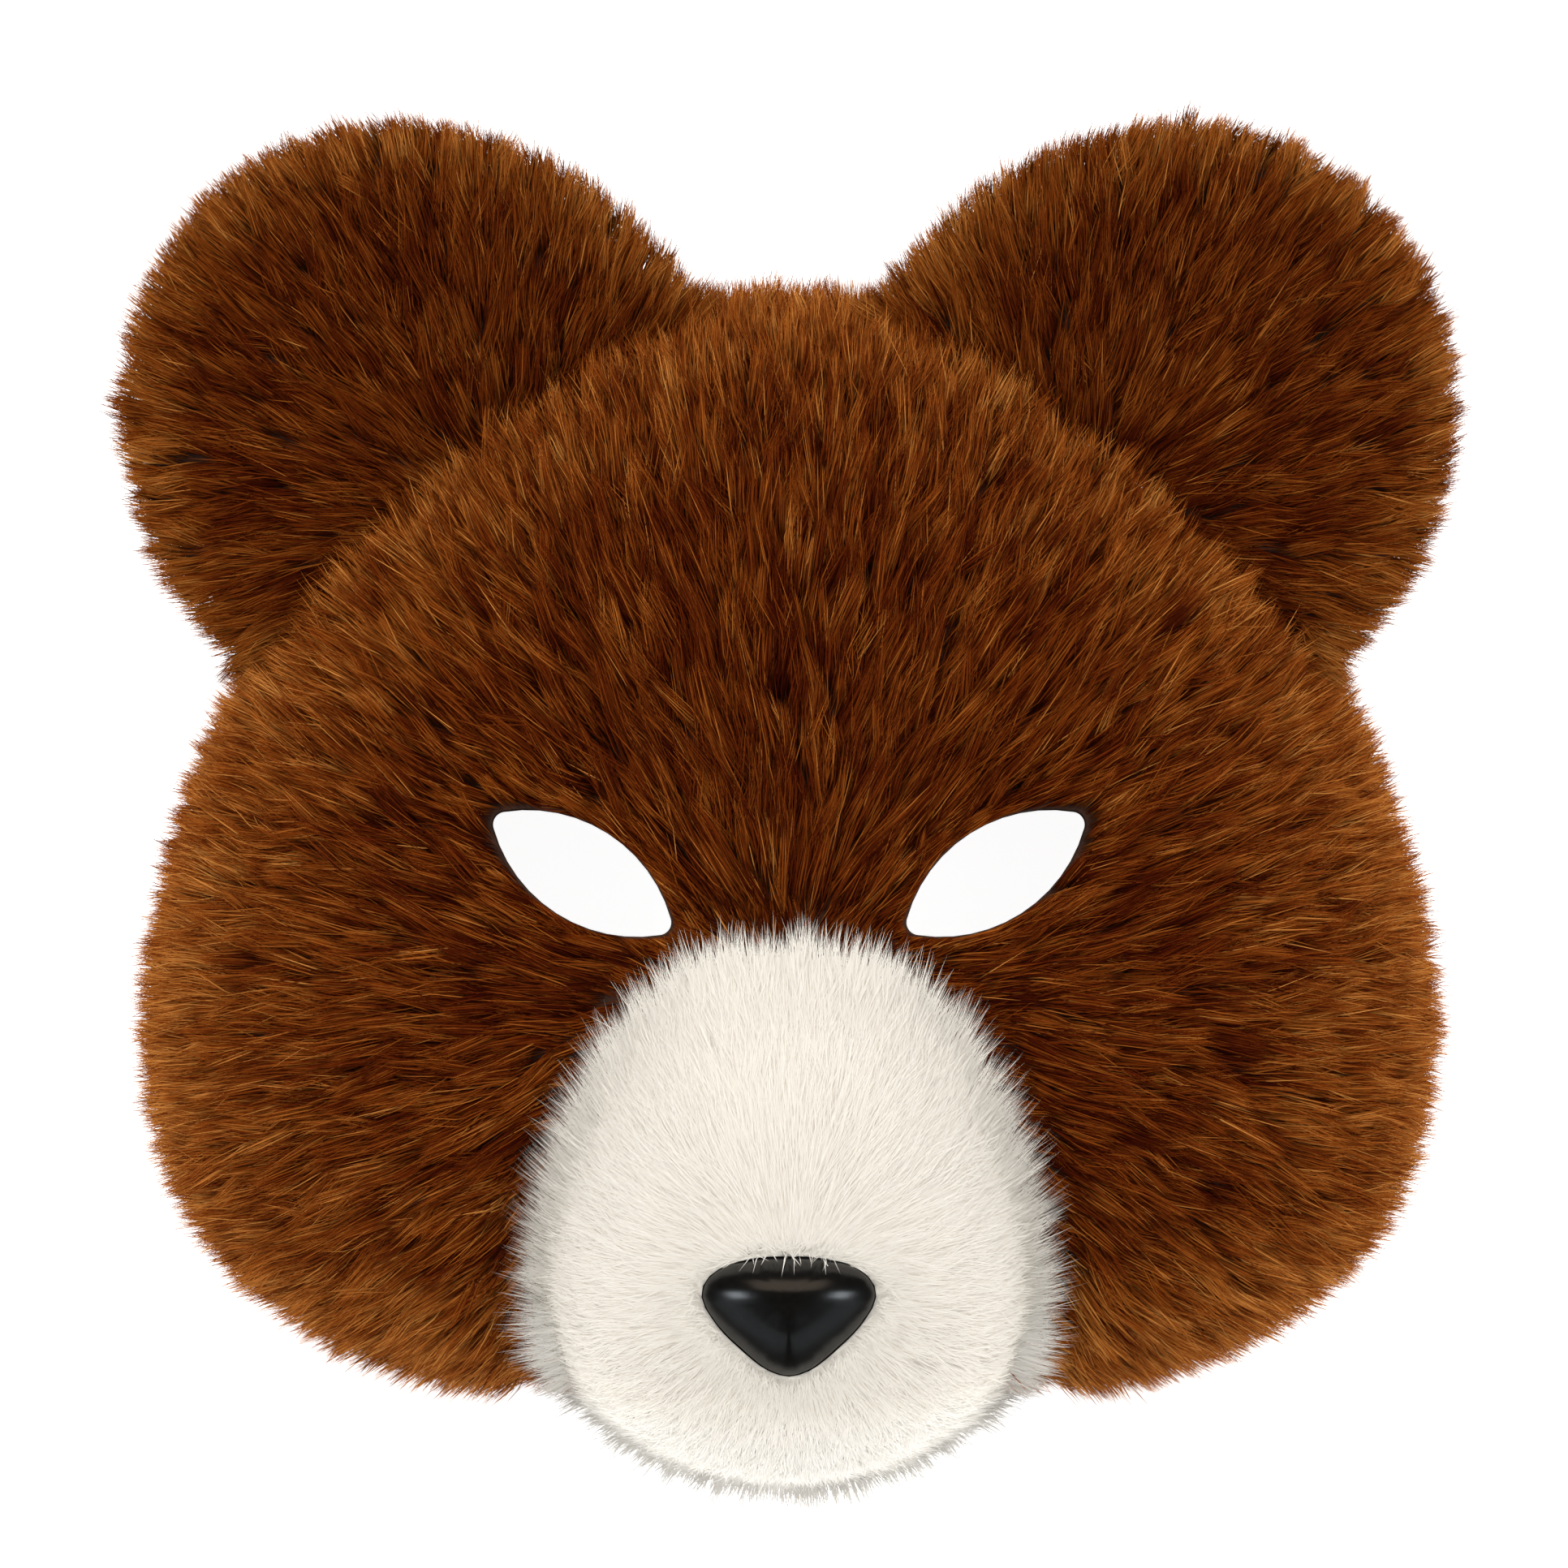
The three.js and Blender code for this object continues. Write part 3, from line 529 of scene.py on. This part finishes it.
def scatter(point_at, low_climb, count, weight_at):
    """Angles and climbs of places spread evenly over a face, wherever the weight isn't 0."""
    angles = np.linspace(-math.pi, math.pi, SCATTER_GRID[0])
    climbs = np.linspace(low_climb, 1, SCATTER_GRID[1])
    corners = point_at(*np.meshgrid(angles, climbs, indexing="ij"))
    across = corners[1:, :-1] - corners[:-1, :-1]
    upward = corners[:-1, 1:] - corners[:-1, :-1]
    area = np.linalg.norm(np.cross(across, upward), axis=-1)
    middles = (corners[1:, 1:] + corners[:-1, :-1]) / 2
    total = np.cumsum((area * weight_at(middles)).ravel())
    picks = (np.arange(count) + RNG.random(count)) / count * total[-1]
    cell_angle, cell_climb = np.divmod(np.searchsorted(total, picks), len(climbs) - 1)
    angle = angles[cell_angle] + RNG.random(count) * (angles[1] - angles[0])
    climb = climbs[cell_climb] + RNG.random(count) * (climbs[1] - climbs[0])
    return angle, np.clip(climb, low_climb, 1)


def nearest(points, centres):
    """Index of the nearest centre to each point, and how far it is."""
    tree = KDTree(len(centres))
    for index, centre in enumerate(centres):
        tree.insert(centre, index)
    tree.balance()
    found = [tree.find(point)[1:] for point in points]
    index, distance = zip(*found)
    return np.array(index), np.array(distance)


def turned(flow, outward, angle):
    """Flow turned about the outward direction."""
    across = np.cross(outward, flow)
    return flow * np.cos(angle)[:, None] + across * np.sin(angle)[:, None]


def grow_fur(root, outward, flow, length, lift, tone, look):
    """Strands from their roots: gathered in clumps, each with its own lean and tone.

    A look has the strands to a clump, the painted shade at a clump's edge (edge), the bend of a strand,
    its pull to the clump's tip, the share of strays and their change of tone. The rest are spreads: turns
    and lifts in radians, and lengths and tones as shares.
    """
    count = len(root)
    leaders = RNG.choice(count, max(count // look["clump"], 1), replace=False)
    index, distance = nearest(root, root[leaders])
    owner = leaders[index]
    # Painted shade: strands toward the edge of their clump are darker and those at its middle lighter, as the
    # partings between clumps lie in shade.
    clump_edge_shade = look["edge"] * (1 - distance / distance.mean())
    clump_turn = RNG.normal(0, look["clump_sway"], count)
    clump_tone = RNG.normal(0, look["clump_tone"], count)
    clump_length = RNG.normal(1, look["clump_length"], count)
    stray = RNG.random(count) < look["stray"]
    own_turn = RNG.normal(0, look["sway"], count) * np.where(stray, STRAY_SWAY, 1.0)
    own_tone = RNG.normal(0, look["tone"], count) + np.where(stray, look["stray_tone"], 0.0)
    flow = turned(flow, outward, clump_turn[owner] + own_turn)
    length = length * np.clip(clump_length[owner] * RNG.normal(1, look["length"], count), *LENGTH_LIMITS)
    lift = lift + RNG.normal(0, look["lift"], count)
    rising = lift + look["bend"]
    first = flow * np.cos(rising)[:, None] + outward * np.sin(rising)[:, None]
    falling = lift - look["bend"]
    second = flow * np.cos(falling)[:, None] + outward * np.sin(falling)[:, None]
    belly = root + first * (BELLY * length)[:, None]
    tip = belly + second * ((1 - BELLY) * length)[:, None]
    pull = np.clip(RNG.normal(look["pull"], PULL_SPREAD, count), *PULL_LIMITS)
    pull = (pull * np.where(stray, STRAY_PULL, 1.0))[:, None]
    tip = tip + pull * (tip[owner] - tip)
    belly = belly + BELLY_PULL * pull * (belly[owner] - belly)
    tone = np.clip(tone + clump_tone[owner] + clump_edge_shade + own_tone, *TONE_LIMITS)
    return {"root": root, "belly": belly, "tip": tip, "tone": tone, "outward": outward,
            "side": np.cross(outward, flow)}


def keep(fur, chosen):
    return {name: values[chosen] for name, values in fur.items()}


def along_strand(fur, share):
    """Points at a share of each strand's length."""
    share = np.broadcast_to(share, len(fur["root"]))[:, None]
    lower = fur["root"] + (fur["belly"] - fur["root"]) * share / BELLY
    upper = fur["belly"] + (fur["tip"] - fur["belly"]) * (share - BELLY) / (1 - BELLY)
    return np.where(share < BELLY, lower, upper)


def trimmed(fur, is_blocked, steps=16, shortest=0.2):
    """Cuts each strand where it first enters a blocked place and drops the stubs."""
    kept = np.ones(len(fur["root"]))
    clear = ~is_blocked(fur["root"])
    for step in range(1, steps + 1):
        share = step / steps
        clear &= ~is_blocked(along_strand(fur, share))
        kept = np.where(clear, kept, np.minimum(kept, share - 1 / steps))
    belly = along_strand(fur, BELLY * kept)
    tip = along_strand(fur, kept)
    return keep({**fur, "belly": belly, "tip": tip}, kept > shortest)


def fur_mesh(name, fur, blade, material):
    """Strands as one mesh of fine bent blades; softness turns their shading toward the cloth's."""
    count = len(fur["root"])
    lengthwise = unit(fur["tip"] - fur["root"])
    side = unit(fur["side"] - lengthwise * np.sum(fur["side"] * lengthwise, axis=1, keepdims=True))
    upward = np.cross(lengthwise, side)
    roll = np.clip(RNG.normal(0, blade["roll"], count), *ROLL_LIMITS)[:, None]
    half = (blade["width"] / 2 * np.clip(RNG.normal(1, WIDTH_SPREAD, count), *WIDTH_LIMITS))[:, None]
    spoke = side * np.cos(roll) + upward * np.sin(roll)
    facing = upward * np.cos(roll) - side * np.sin(roll)
    over = np.where(np.sum(facing * fur["outward"], axis=1, keepdims=True) < 0, -1.0, 1.0)
    spoke, facing = spoke * over, facing * over
    points = np.stack([fur["root"], fur["belly"] - spoke * half, fur["belly"] + spoke * half,
                       fur["tip"]], 1)
    points[..., 2] = np.maximum(points[..., 2], RIM_CLEARANCE)
    corners = (np.arange(count)[:, None] * 4 + np.array([0, 1, 2, 3, 2, 1])).ravel().astype(np.int32)
    mesh = bpy.data.meshes.new(name)
    mesh.vertices.add(count * 4)
    mesh.vertices.foreach_set("co", to_metres(points).ravel())
    mesh.loops.add(len(corners))
    mesh.loops.foreach_set("vertex_index", corners)
    mesh.polygons.add(count * 2)
    mesh.polygons.foreach_set("loop_start", np.arange(0, len(corners), 3, dtype=np.int32))
    mesh.polygons.foreach_set("use_smooth", np.ones(count * 2, dtype=bool))
    along = np.tile([BAKE_ENDS[0], BELLY, BELLY, BAKE_ENDS[1]], count)
    tone = np.repeat(fur["tone"], 4)
    mesh.attributes.new("tone", "FLOAT", "POINT").data.foreach_set("value", tone)
    mesh.attributes.new("along", "FLOAT", "POINT").data.foreach_set("value", along)
    spread = np.tile([0.0, -BAKE_HALF_WIDTH, BAKE_HALF_WIDTH, 0.0], count)
    chart = np.column_stack([tone + spread, along])[corners]
    mesh.uv_layers.new(name="OFBake").data.foreach_set("uv", chart.ravel())
    mesh.update(calc_edges=True)
    shaded = unit(blade["softness"] * fur["outward"] + (1 - blade["softness"]) * facing)
    mesh.normals_split_custom_set_from_vertices(np.repeat(shaded, 4, axis=0))
    mesh.materials.append(material)
    return add_object(name, mesh)


def radial(points, centre, fall):
    """Direction away from a centre seen from the front, turned down toward the floor by a share."""
    away = unit(points[:, :2] - np.array(centre))
    return np.column_stack([away, np.broadcast_to(-fall, len(points))])


def on_face(direction, outward):
    """The part of a direction that lies along a face."""
    return unit(direction - outward * np.sum(direction * outward, axis=1, keepdims=True))


def face_fur():
    """Brown strands of the head, flowing away from the middle of the face."""
    fit = FACE_FUR

    def weight(points):
        gap = eye_gap(points)
        free = ~inside_dome(MUZZLE, points, fit["muzzle_clearance"]) & (gap > fit["eye_clearance"])
        return free * (1 + fit["dense_by_eye"] * (1 - smooth(*fit["by_eye"], gap)))

    root_at = dome_face(HEAD, fit["root"])
    angle, climb = scatter(root_at, 0.0, fit["strands"], weight)
    root = root_at(angle, climb)
    outward = dome_normal(HEAD, angle, climb)
    by_eye = 1 - smooth(*fit["by_eye"], eye_gap(root))
    root = root + outward * (fit["raised_by_eye"] * by_eye)[:, None]
    flow = on_face(radial(root, fit["flow_centre"], np.array(fit["fall"])), outward)
    by_muzzle = inside_dome(MUZZLE, root, fit["muzzle_reach"])
    out_share = np.hypot(root[:, 0], root[:, 1] - HEAD["middle"]) / (
        HEAD["reach"] * reach_at(HEAD_OUTLINE, angle))
    steep = 1 - climb
    length = ((fit["length"] - fit["shorter_at_rim"] * steep ** 2) * (1 - fit["shorter_by_eye"] * by_eye)
              * np.where(by_muzzle, fit["share_by_muzzle"], 1.0))
    lift = np.radians(fit["lift"] + fit["lift_at_rim"] * steep ** 3 + fit["lift_by_eye"] * by_eye
                      - fit["drop_by_muzzle"] * by_muzzle)
    # Tone: lighter toward the outline and at the steep rim, which is painted rim light; lighter low on the
    # face and darker high on it.
    by_height = (fit["tone_low"] * smooth(*fit["low"], root[:, 1])
                 - fit["tone_high"] * smooth(*fit["high"], root[:, 1]))
    tone = (fit["tone"] + fit["painted_light_outward"] * smooth(*fit["outward"], out_share)
            + fit["painted_light_at_rim"] * steep ** 4 + by_height)
    # edge is the painted shade at each clump's edge.
    look = {"clump": 34, "clump_sway": 0.2, "clump_tone": 0.1, "edge": 0.13, "clump_length": 0.1,
            "sway": 0.12, "tone": 0.18, "length": 0.18 + 0.14 * steep ** 4, "lift": 0.13, "bend": 0.2,
            "pull": 0.6 - 0.4 * steep ** 3, "stray": 0.06 + 0.14 * steep ** 4, "stray_tone": 0.22}
    fur = grow_fur(root, outward, flow, length, lift, tone, look)
    hidden = (inside_ear(fur["tip"], HIDDEN_IN_EAR["tip"])
              & inside_ear(fur["belly"], HIDDEN_IN_EAR["belly"]))
    return trimmed(keep(fur, ~hidden), lambda points: eye_gap(points) < fit["eye_trim"])


def muzzle_fur():
    """Cream strands of the muzzle, flowing away from the nose and splayed at its foot."""
    fit = MUZZLE_FUR

    def over_face(points):
        return points[..., 2] - dome_height(HEAD, points[..., 0], points[..., 1], FACE_FUR_DEPTH)

    def weight(points):
        dense = 1 + fit["dense_at_foot"] * (1 - smooth(*fit["dense_foot"], over_face(points)))
        taken = inside_dome(HEAD, points, fit["head_clearance"]) | inside_nose(points, fit["nose_clearance"])
        return np.where(taken, 0.0, dense)

    root_at = dome_face(MUZZLE, fit["root"])
    angle, climb = scatter(root_at, 0.0, fit["strands"], weight)
    root = root_at(angle, climb)
    outward = dome_normal(MUZZLE, angle, climb)
    foot = 1 - smooth(*fit["foot"], over_face(root))
    flow = on_face(radial(root, fit["flow_centre"], fit["fall"] - fit["rise_at_foot"] * foot), outward)
    rim = 1 - smooth(*fit["rim"], climb)
    by_nose = 1 - smooth(*fit["by_nose"], nose_gap(root))
    length = fit["length"] + fit["longer_at_foot"] * foot - fit["shorter_by_nose"] * by_nose
    lift = np.radians(fit["lift"] + fit["lift_at_foot"] * np.maximum(foot, fit["rim_share"] * rim)
                      + fit["lift_by_nose"] * by_nose)
    chin = 1 - smooth(*fit["chin"], root[:, 1])
    low_foot = foot * (1 - smooth(*fit["low_foot"], root[:, 1]))
    # Painted light: the top of the muzzle, its chin and its low foot are made lighter.
    tone = (fit["tone"] + fit["tone_high"] * smooth(*fit["high"], root[:, 1])
            + fit["tone_low"] * np.maximum(chin, low_foot))
    # edge is the painted shade at each clump's edge.
    look = {"clump": 20, "clump_sway": 0.14, "clump_tone": 0.02, "edge": 0.01, "clump_length": 0.12,
            "sway": 0.16 + 0.14 * foot, "tone": 0.04, "length": 0.22, "lift": 0.07 + 0.1 * foot,
            "bend": 0.1, "pull": 0.25, "stray": 0.02, "stray_tone": -0.15}
    fur = grow_fur(root, outward, flow, length, lift, tone, look)
    fur["outward"] = unit(outward + fit["shaded_up"] * np.maximum(foot, rim)[:, None] * UP)
    return trimmed(fur, lambda points: inside_nose(points, fit["nose_trim"]))


def collar_fur():
    """Short upright cream strands close round the nose, a few of them lying over its top edge."""
    fit = COLLAR_FUR
    count = fit["strands"]
    angle = RNG.uniform(-math.pi, math.pi, count)
    out = fit["nearest"] + fit["spread"] * RNG.random(count)
    reach = NOSE_HALF_WIDTH * reach_at(NOSE_OUTLINE, angle) + out
    x = reach * np.sin(angle)
    y = NOSE_Y + reach * np.cos(angle)
    root = np.column_stack([x, y, drooped_height(x, y, fit["root"])])
    away = np.column_stack([np.sin(angle), np.cos(angle), np.zeros(count)])
    outward = unit(np.column_stack([x, y - NOSE_Y, np.full(count, fit["dome_radius"])]))
    over_top = (np.abs(angle) < fit["top_angle"]) & (RNG.random(count) < fit["top_share"])
    flow = on_face(np.where(over_top[:, None], -away, away), outward)
    length = np.where(over_top, fit["length_over_top"], fit["length"])
    lift = np.radians(np.where(over_top, fit["lift_over_top"], fit["lift"]))
    look = {"clump": 8, "clump_sway": 0.4, "clump_tone": 0.03, "edge": 0.0, "clump_length": 0.14,
            "sway": 0.4, "tone": 0.05, "length": 0.2, "lift": 0.15, "bend": 0.2, "pull": 0.2,
            "stray": 0.0, "stray_tone": 0.0}
    fur = grow_fur(root, outward, flow, length, lift, np.full(count, fit["tone"]), look)
    blocked = trimmed(keep(fur, ~over_top), lambda points: inside_nose(points, fit["nose_trim"]))
    free = keep(fur, over_top)
    return {name: np.concatenate([blocked[name], free[name]]) for name in fur}


def ear_fur(side):
    """Brown strands of one ear, flowing away from its root on both faces and round its edge."""
    fit = EAR_FUR
    matrix = ear_matrix(side)

    def root_at(angle, climb):
        return moved(ear_local(angle, climb, fit["root"]), matrix)

    def weight(points):
        return ~inside_dome(HEAD, points, fit["head_clearance"])

    angle, climb = scatter(root_at, -1.0, fit["strands"], weight)
    root = root_at(angle, climb)
    outward = square_to(root_at, angle, climb, -1.0)
    local = ear_local(angle, climb, 0.0)
    comb = np.column_stack([local[:, 0], local[:, 1] - EAR_ROOT_Y, fit["comb_rise"] * np.sign(climb)])
    flow = on_face(unit(comb) @ matrix[:3, :3].T, outward)
    edge = 1 - np.abs(climb)
    length = fit["length"] - fit["shorter_at_edge"] * edge ** 2
    lift = np.radians(fit["lift"] + fit["lift_at_edge"] * edge ** 3)
    reach = EAR_RADIUS * reach_at(EAR_OUTLINE, angle)
    tip_ward = smooth(*fit["tip"], np.hypot(local[:, 0], local[:, 1]) / reach)
    # Lighter toward the ear's outer edge: painted rim light.
    tone = fit["tone"] + fit["painted_light_at_tip"] * tip_ward ** 3
    # edge is the painted shade at each clump's edge.
    look = {"clump": 34, "clump_sway": 0.18, "clump_tone": 0.08, "edge": 0.12, "clump_length": 0.07,
            "sway": 0.13, "tone": 0.15, "length": 0.16, "lift": 0.12, "bend": 0.2,
            "pull": 0.55 - 0.4 * edge ** 3, "stray": 0.07, "stray_tone": 0.22}
    return grow_fur(root, outward, flow, length, lift, tone, look)


# Materials

def new_material(name, roughness):
    material = bpy.data.materials.new(name)
    material.use_nodes = True
    tree = material.node_tree
    shader = tree.nodes["Principled BSDF"]
    shader.inputs["Roughness"].default_value = roughness
    return material, tree, shader


def add_ramp(tree, stops):
    ramp = tree.nodes.new("ShaderNodeValToRGB")
    elements = ramp.color_ramp.elements
    while len(elements) < len(stops):
        elements.new(0.5)
    for element, (place, colour) in zip(elements, stops):
        element.position = place
        element.color = (*colour, 1.0)
    return ramp


def add_noise(tree, scale, detail=4.0):
    place = tree.nodes.new("ShaderNodeTexCoord")
    noise = tree.nodes.new("ShaderNodeTexNoise")
    noise.inputs["Scale"].default_value = scale
    noise.inputs["Detail"].default_value = detail
    tree.links.new(place.outputs["Object"], noise.inputs["Vector"])
    return noise


def add_bump(tree, shader, height, strength, distance):
    bump = tree.nodes.new("ShaderNodeBump")
    bump.inputs["Strength"].default_value = strength
    bump.inputs["Distance"].default_value = distance
    tree.links.new(height, bump.inputs["Height"])
    tree.links.new(bump.outputs["Normal"], shader.inputs["Normal"])


def strand_material(name, tones, painted_root_shade, roughness, specular):
    """Colour from each strand's own tone, times a painted shade that darkens it toward its root."""
    material, tree, shader = new_material(name, roughness)
    shader.inputs["Specular IOR Level"].default_value = specular
    factors = []
    # Tones give each strand its colour; the ramp along each strand is painted shade, darkest at the root.
    for attribute, stops in (("tone", tones), ("along", painted_root_shade)):
        source = tree.nodes.new("ShaderNodeAttribute")
        source.attribute_name = attribute
        ramp = add_ramp(tree, stops)
        tree.links.new(source.outputs["Fac"], ramp.inputs["Fac"])
        factors.append(ramp.outputs["Color"])
    mix = tree.nodes.new("ShaderNodeMix")
    mix.data_type = "RGBA"
    mix.blend_type = "MULTIPLY"
    mix.inputs["Factor"].default_value = 1.0
    tree.links.new(factors[0], mix.inputs[MIX_FIRST])
    tree.links.new(factors[1], mix.inputs[MIX_SECOND])
    tree.links.new(mix.outputs[MIX_RESULT], shader.inputs["Base Color"])
    return material


def grained_material(name, darker, lighter, roughness, scale, bump_depth):
    """Mottled colour between two shades, with a fine raised grain."""
    material, tree, shader = new_material(name, roughness)
    noise = add_noise(tree, scale)
    ramp = add_ramp(tree, [(0.3, darker), (0.7, lighter)])
    tree.links.new(noise.outputs["Fac"], ramp.inputs["Fac"])
    tree.links.new(ramp.outputs["Color"], shader.inputs["Base Color"])
    add_bump(tree, shader, noise.outputs["Fac"], strength=0.6, distance=bump_depth)
    return material


def grey(value):
    return (value, value, value)


def brown_strands(name, gain):
    tones = [(0.0, (0.035, 0.0025, 0.0002)), (0.25, (0.1, 0.013, 0.001)), (0.5, (0.21, 0.044, 0.004)),
             (0.75, (0.37, 0.11, 0.015)), (1.0, (0.62, 0.25, 0.055))]
    tones = [(place, tuple(gain * value for value in colour)) for place, colour in tones]
    # Painted shade: each strand darkens from its tip to its root, where the pile lies in shade.
    painted_root_shade = [(0.0, grey(0.12)), (0.45, grey(0.6)), (1.0, grey(1.08))]
    return strand_material(name, tones, painted_root_shade, roughness=0.8, specular=0.02)


def cream_strands():
    tones = [(0.0, (0.44, 0.42, 0.385)), (0.35, (0.645, 0.607, 0.55)), (0.7, (0.725, 0.687, 0.62)),
             (1.0, (0.82, 0.805, 0.77))]
    # Painted shade: each strand darkens a little toward its root.
    painted_root_shade = [(0.0, grey(0.95)), (0.5, grey(1.0)), (1.0, grey(1.0))]
    return strand_material("cream_strands", tones, painted_root_shade, roughness=0.9, specular=0.05)


def gloss_black():
    material, tree, shader = new_material("gloss_black", roughness=0.27)
    shader.inputs["Specular IOR Level"].default_value = 0.4
    noise = add_noise(tree, scale=900.0, detail=3.0)
    ramp = add_ramp(tree, [(0.3, (0.0022, 0.002, 0.0018)), (0.7, (0.0042, 0.0039, 0.0035))])
    tree.links.new(noise.outputs["Fac"], ramp.inputs["Fac"])
    tree.links.new(ramp.outputs["Color"], shader.inputs["Base Color"])
    add_bump(tree, shader, noise.outputs["Fac"], strength=0.15, distance=0.00005)
    return material


# Pieces

def dress(piece, material, slot, *nodes):
    """Gives a piece its material and its body, and hides the model's node that it stands for."""
    if material is not None:
        piece.data.materials.clear()
        piece.data.materials.append(material)
    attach(piece, "root")
    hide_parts(*nodes)
    return piece


def floor_cutter():
    """Slab that keeps a body off the surface that the rim rests on."""
    return prism("floor_cutter", round_outline(FLOOR_CUT_RADIUS, (0.0, 0.0)), FLOOR_CUT_BOTTOM, RIM_CLEARANCE)


def pin_cutter(top):
    """Hole of the nose's post, up to a height."""
    return prism("pin_cutter", round_outline(PIN_RADIUS + FIT_GAP, (0.0, PIN_Y)), PIN_CUT_BOTTOM, top)


def add_face():
    """The brown fur cloth: its dense undercoat and its strands."""
    undercoat = dome_body("face_undercoat", HEAD, FACE_UNDERCOAT, 0.0, sectors=180, rings=48)
    cut(undercoat,
        dome_body("head_cutter", HEAD, FIT_GAP, CUTTER_FOOT),
        dome_body("muzzle_cutter", MUZZLE, FACE_SEAT_AT_MUZZLE, CUTTER_FOOT),
        prism("eye_cutter_left", eye_outline(-1, EYE_CUT_CLEARANCE), *EYE_CUT_HEIGHTS),
        prism("eye_cutter_right", eye_outline(1, EYE_CUT_CLEARANCE), *EYE_CUT_HEIGHTS),
        floor_cutter())
    dark = grained_material("brown_undercoat", (0.012, 0.003, 0.001), (0.05, 0.014, 0.003),
                            roughness=0.9, scale=260.0, bump_depth=0.0006)
    dress(undercoat, dark, "brown_fur", "face_fur")
    fur = face_fur()
    side = fur["root"][:, 0]
    reach = np.sort(np.abs(side))
    middle = reach[int(len(reach) * FACE_MIDDLE_SHARE)]
    parts = {"face_pile_left": side < -middle, "face_pile_middle": np.abs(side) <= middle,
             "face_pile_right": side > middle}
    material = brown_strands("brown_strands", gain=1.0)
    for name, chosen in parts.items():
        dress(fur_mesh(name, keep(fur, chosen), BROWN_BLADE, material), None, "brown_fur", "face_fur")


def add_muzzle():
    """The cream fur cloth on the muzzle: its undercoat and its strands."""
    undercoat = dome_body("muzzle_undercoat", MUZZLE, MUZZLE_UNDERCOAT, 0.0, sectors=144, rings=48)
    cut(undercoat,
        dome_body("muzzle_cutter", MUZZLE, FIT_GAP, CUTTER_FOOT),
        dome_body("head_cutter", HEAD, FACE_UNDERCOAT, CUTTER_FOOT),
        nose_body("nose_cutter", FIT_GAP, sectors=48, rings=12),
        pin_cutter(PIN_CUT_TOP),
        floor_cutter())
    pale = grained_material("cream_undercoat", (0.7, 0.665, 0.6), (0.74, 0.705, 0.64),
                            roughness=0.9, scale=400.0, bump_depth=0.0002)
    dress(undercoat, pale, "cream_fur", "muzzle_fur")
    cream = cream_strands()
    for name, grow, blade in (("muzzle_pile", muzzle_fur, CREAM_BLADE),
                              ("nose_collar", collar_fur, COLLAR_BLADE)):
        pile = dress(fur_mesh(name, grow(), blade, cream), None, "cream_fur", "muzzle_fur")
        pile.visible_shadow = False


def add_ear(side, name, dark, material):
    """One padded ear: its stuffed body and its strands."""
    matrix = ear_matrix(side)
    sectors, rings = 96, 20
    angles = 2 * math.pi * np.arange(sectors) / sectors
    rows = [moved(ear_local(angles, np.full(sectors, ring / rings - 1), EAR_UNDERCOAT), matrix)
            for ring in range(1, 2 * rings)]
    poles = [moved(ear_local(np.zeros(1), np.full(1, climb), EAR_UNDERCOAT), matrix)[0]
             for climb in (-1.0, 1.0)]
    body = ring_object(name + "_padding", rows, poles[0], poles[1])
    cut(body, dome_body("head_cutter", HEAD, 2 * FIT_GAP + FACE_FUR_DEPTH, CUTTER_FOOT))
    dress(body, dark, "ear_fur", name)
    dress(fur_mesh(name + "_pile", ear_fur(side), BROWN_BLADE, material), None, "ear_fur", name)


def nose_body(name, grow, sectors, rings):
    """The nose with its foot sunk in the muzzle, grown by a margin for use as a cutter."""
    angles = 2 * math.pi * np.arange(sectors) / sectors
    rows = [nose_point(angles, np.full(sectors, ring / rings), grow) for ring in range(rings)]
    foot = rows[0].copy()
    foot[:, 2] = NOSE_EDGE_Z - NOSE_DEPTH
    crown = nose_point(np.zeros(1), np.ones(1), grow)[0]
    return ring_object(name, [foot, *rows], [0.0, NOSE_Y, NOSE_EDGE_Z - NOSE_DEPTH], crown)


def add_nose():
    """The polished nose, seated on the muzzle with a socket for its post."""
    nose = nose_body("nose_polished", 0.0, sectors=128, rings=40)
    cut(nose,
        dome_body("muzzle_cutter", MUZZLE, CLOTH_OUTSIDE + FIT_GAP, CUTTER_FOOT),
        pin_cutter(NOSE_EDGE_Z + PIN_DEPTH_IN_NOSE + FIT_GAP))
    dress(nose, gloss_black(), "nose", "nose")


def finish_hard_parts():
    """Materials of the shell and the nose's post, which keep the model's own shapes."""
    plastic = grained_material("moulded_brown", (0.035, 0.014, 0.006), (0.06, 0.026, 0.012),
                               roughness=0.6, scale=700.0, bump_depth=0.0002)
    black = grained_material("moulded_black", grey(0.01), grey(0.02),
                             roughness=0.5, scale=900.0, bump_depth=0.0001)
    for node, material in (("mask_shell", plastic), ("nose_pin", black)):
        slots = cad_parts[node].material_slots
        for entry in slots:
            entry.link = "OBJECT"
            entry.material = material


add_camera()
add_studio()
add_floor()
finish_hard_parts()
add_face()
add_muzzle()
# The ears' undercoat and strands are darker copies of the face's: painted shade of the ears lying behind the
# head.
ear_dark = grained_material("ear_undercoat", (0.01, 0.0025, 0.001), (0.04, 0.011, 0.002),
                            roughness=0.9, scale=260.0, bump_depth=0.0006)
ear_strands_painted_shade = brown_strands("ear_strands_painted_shade", gain=0.9)
add_ear(-1, "ear_left", ear_dark, ear_strands_painted_shade)
add_ear(1, "ear_right", ear_dark, ear_strands_painted_shade)
add_nose()
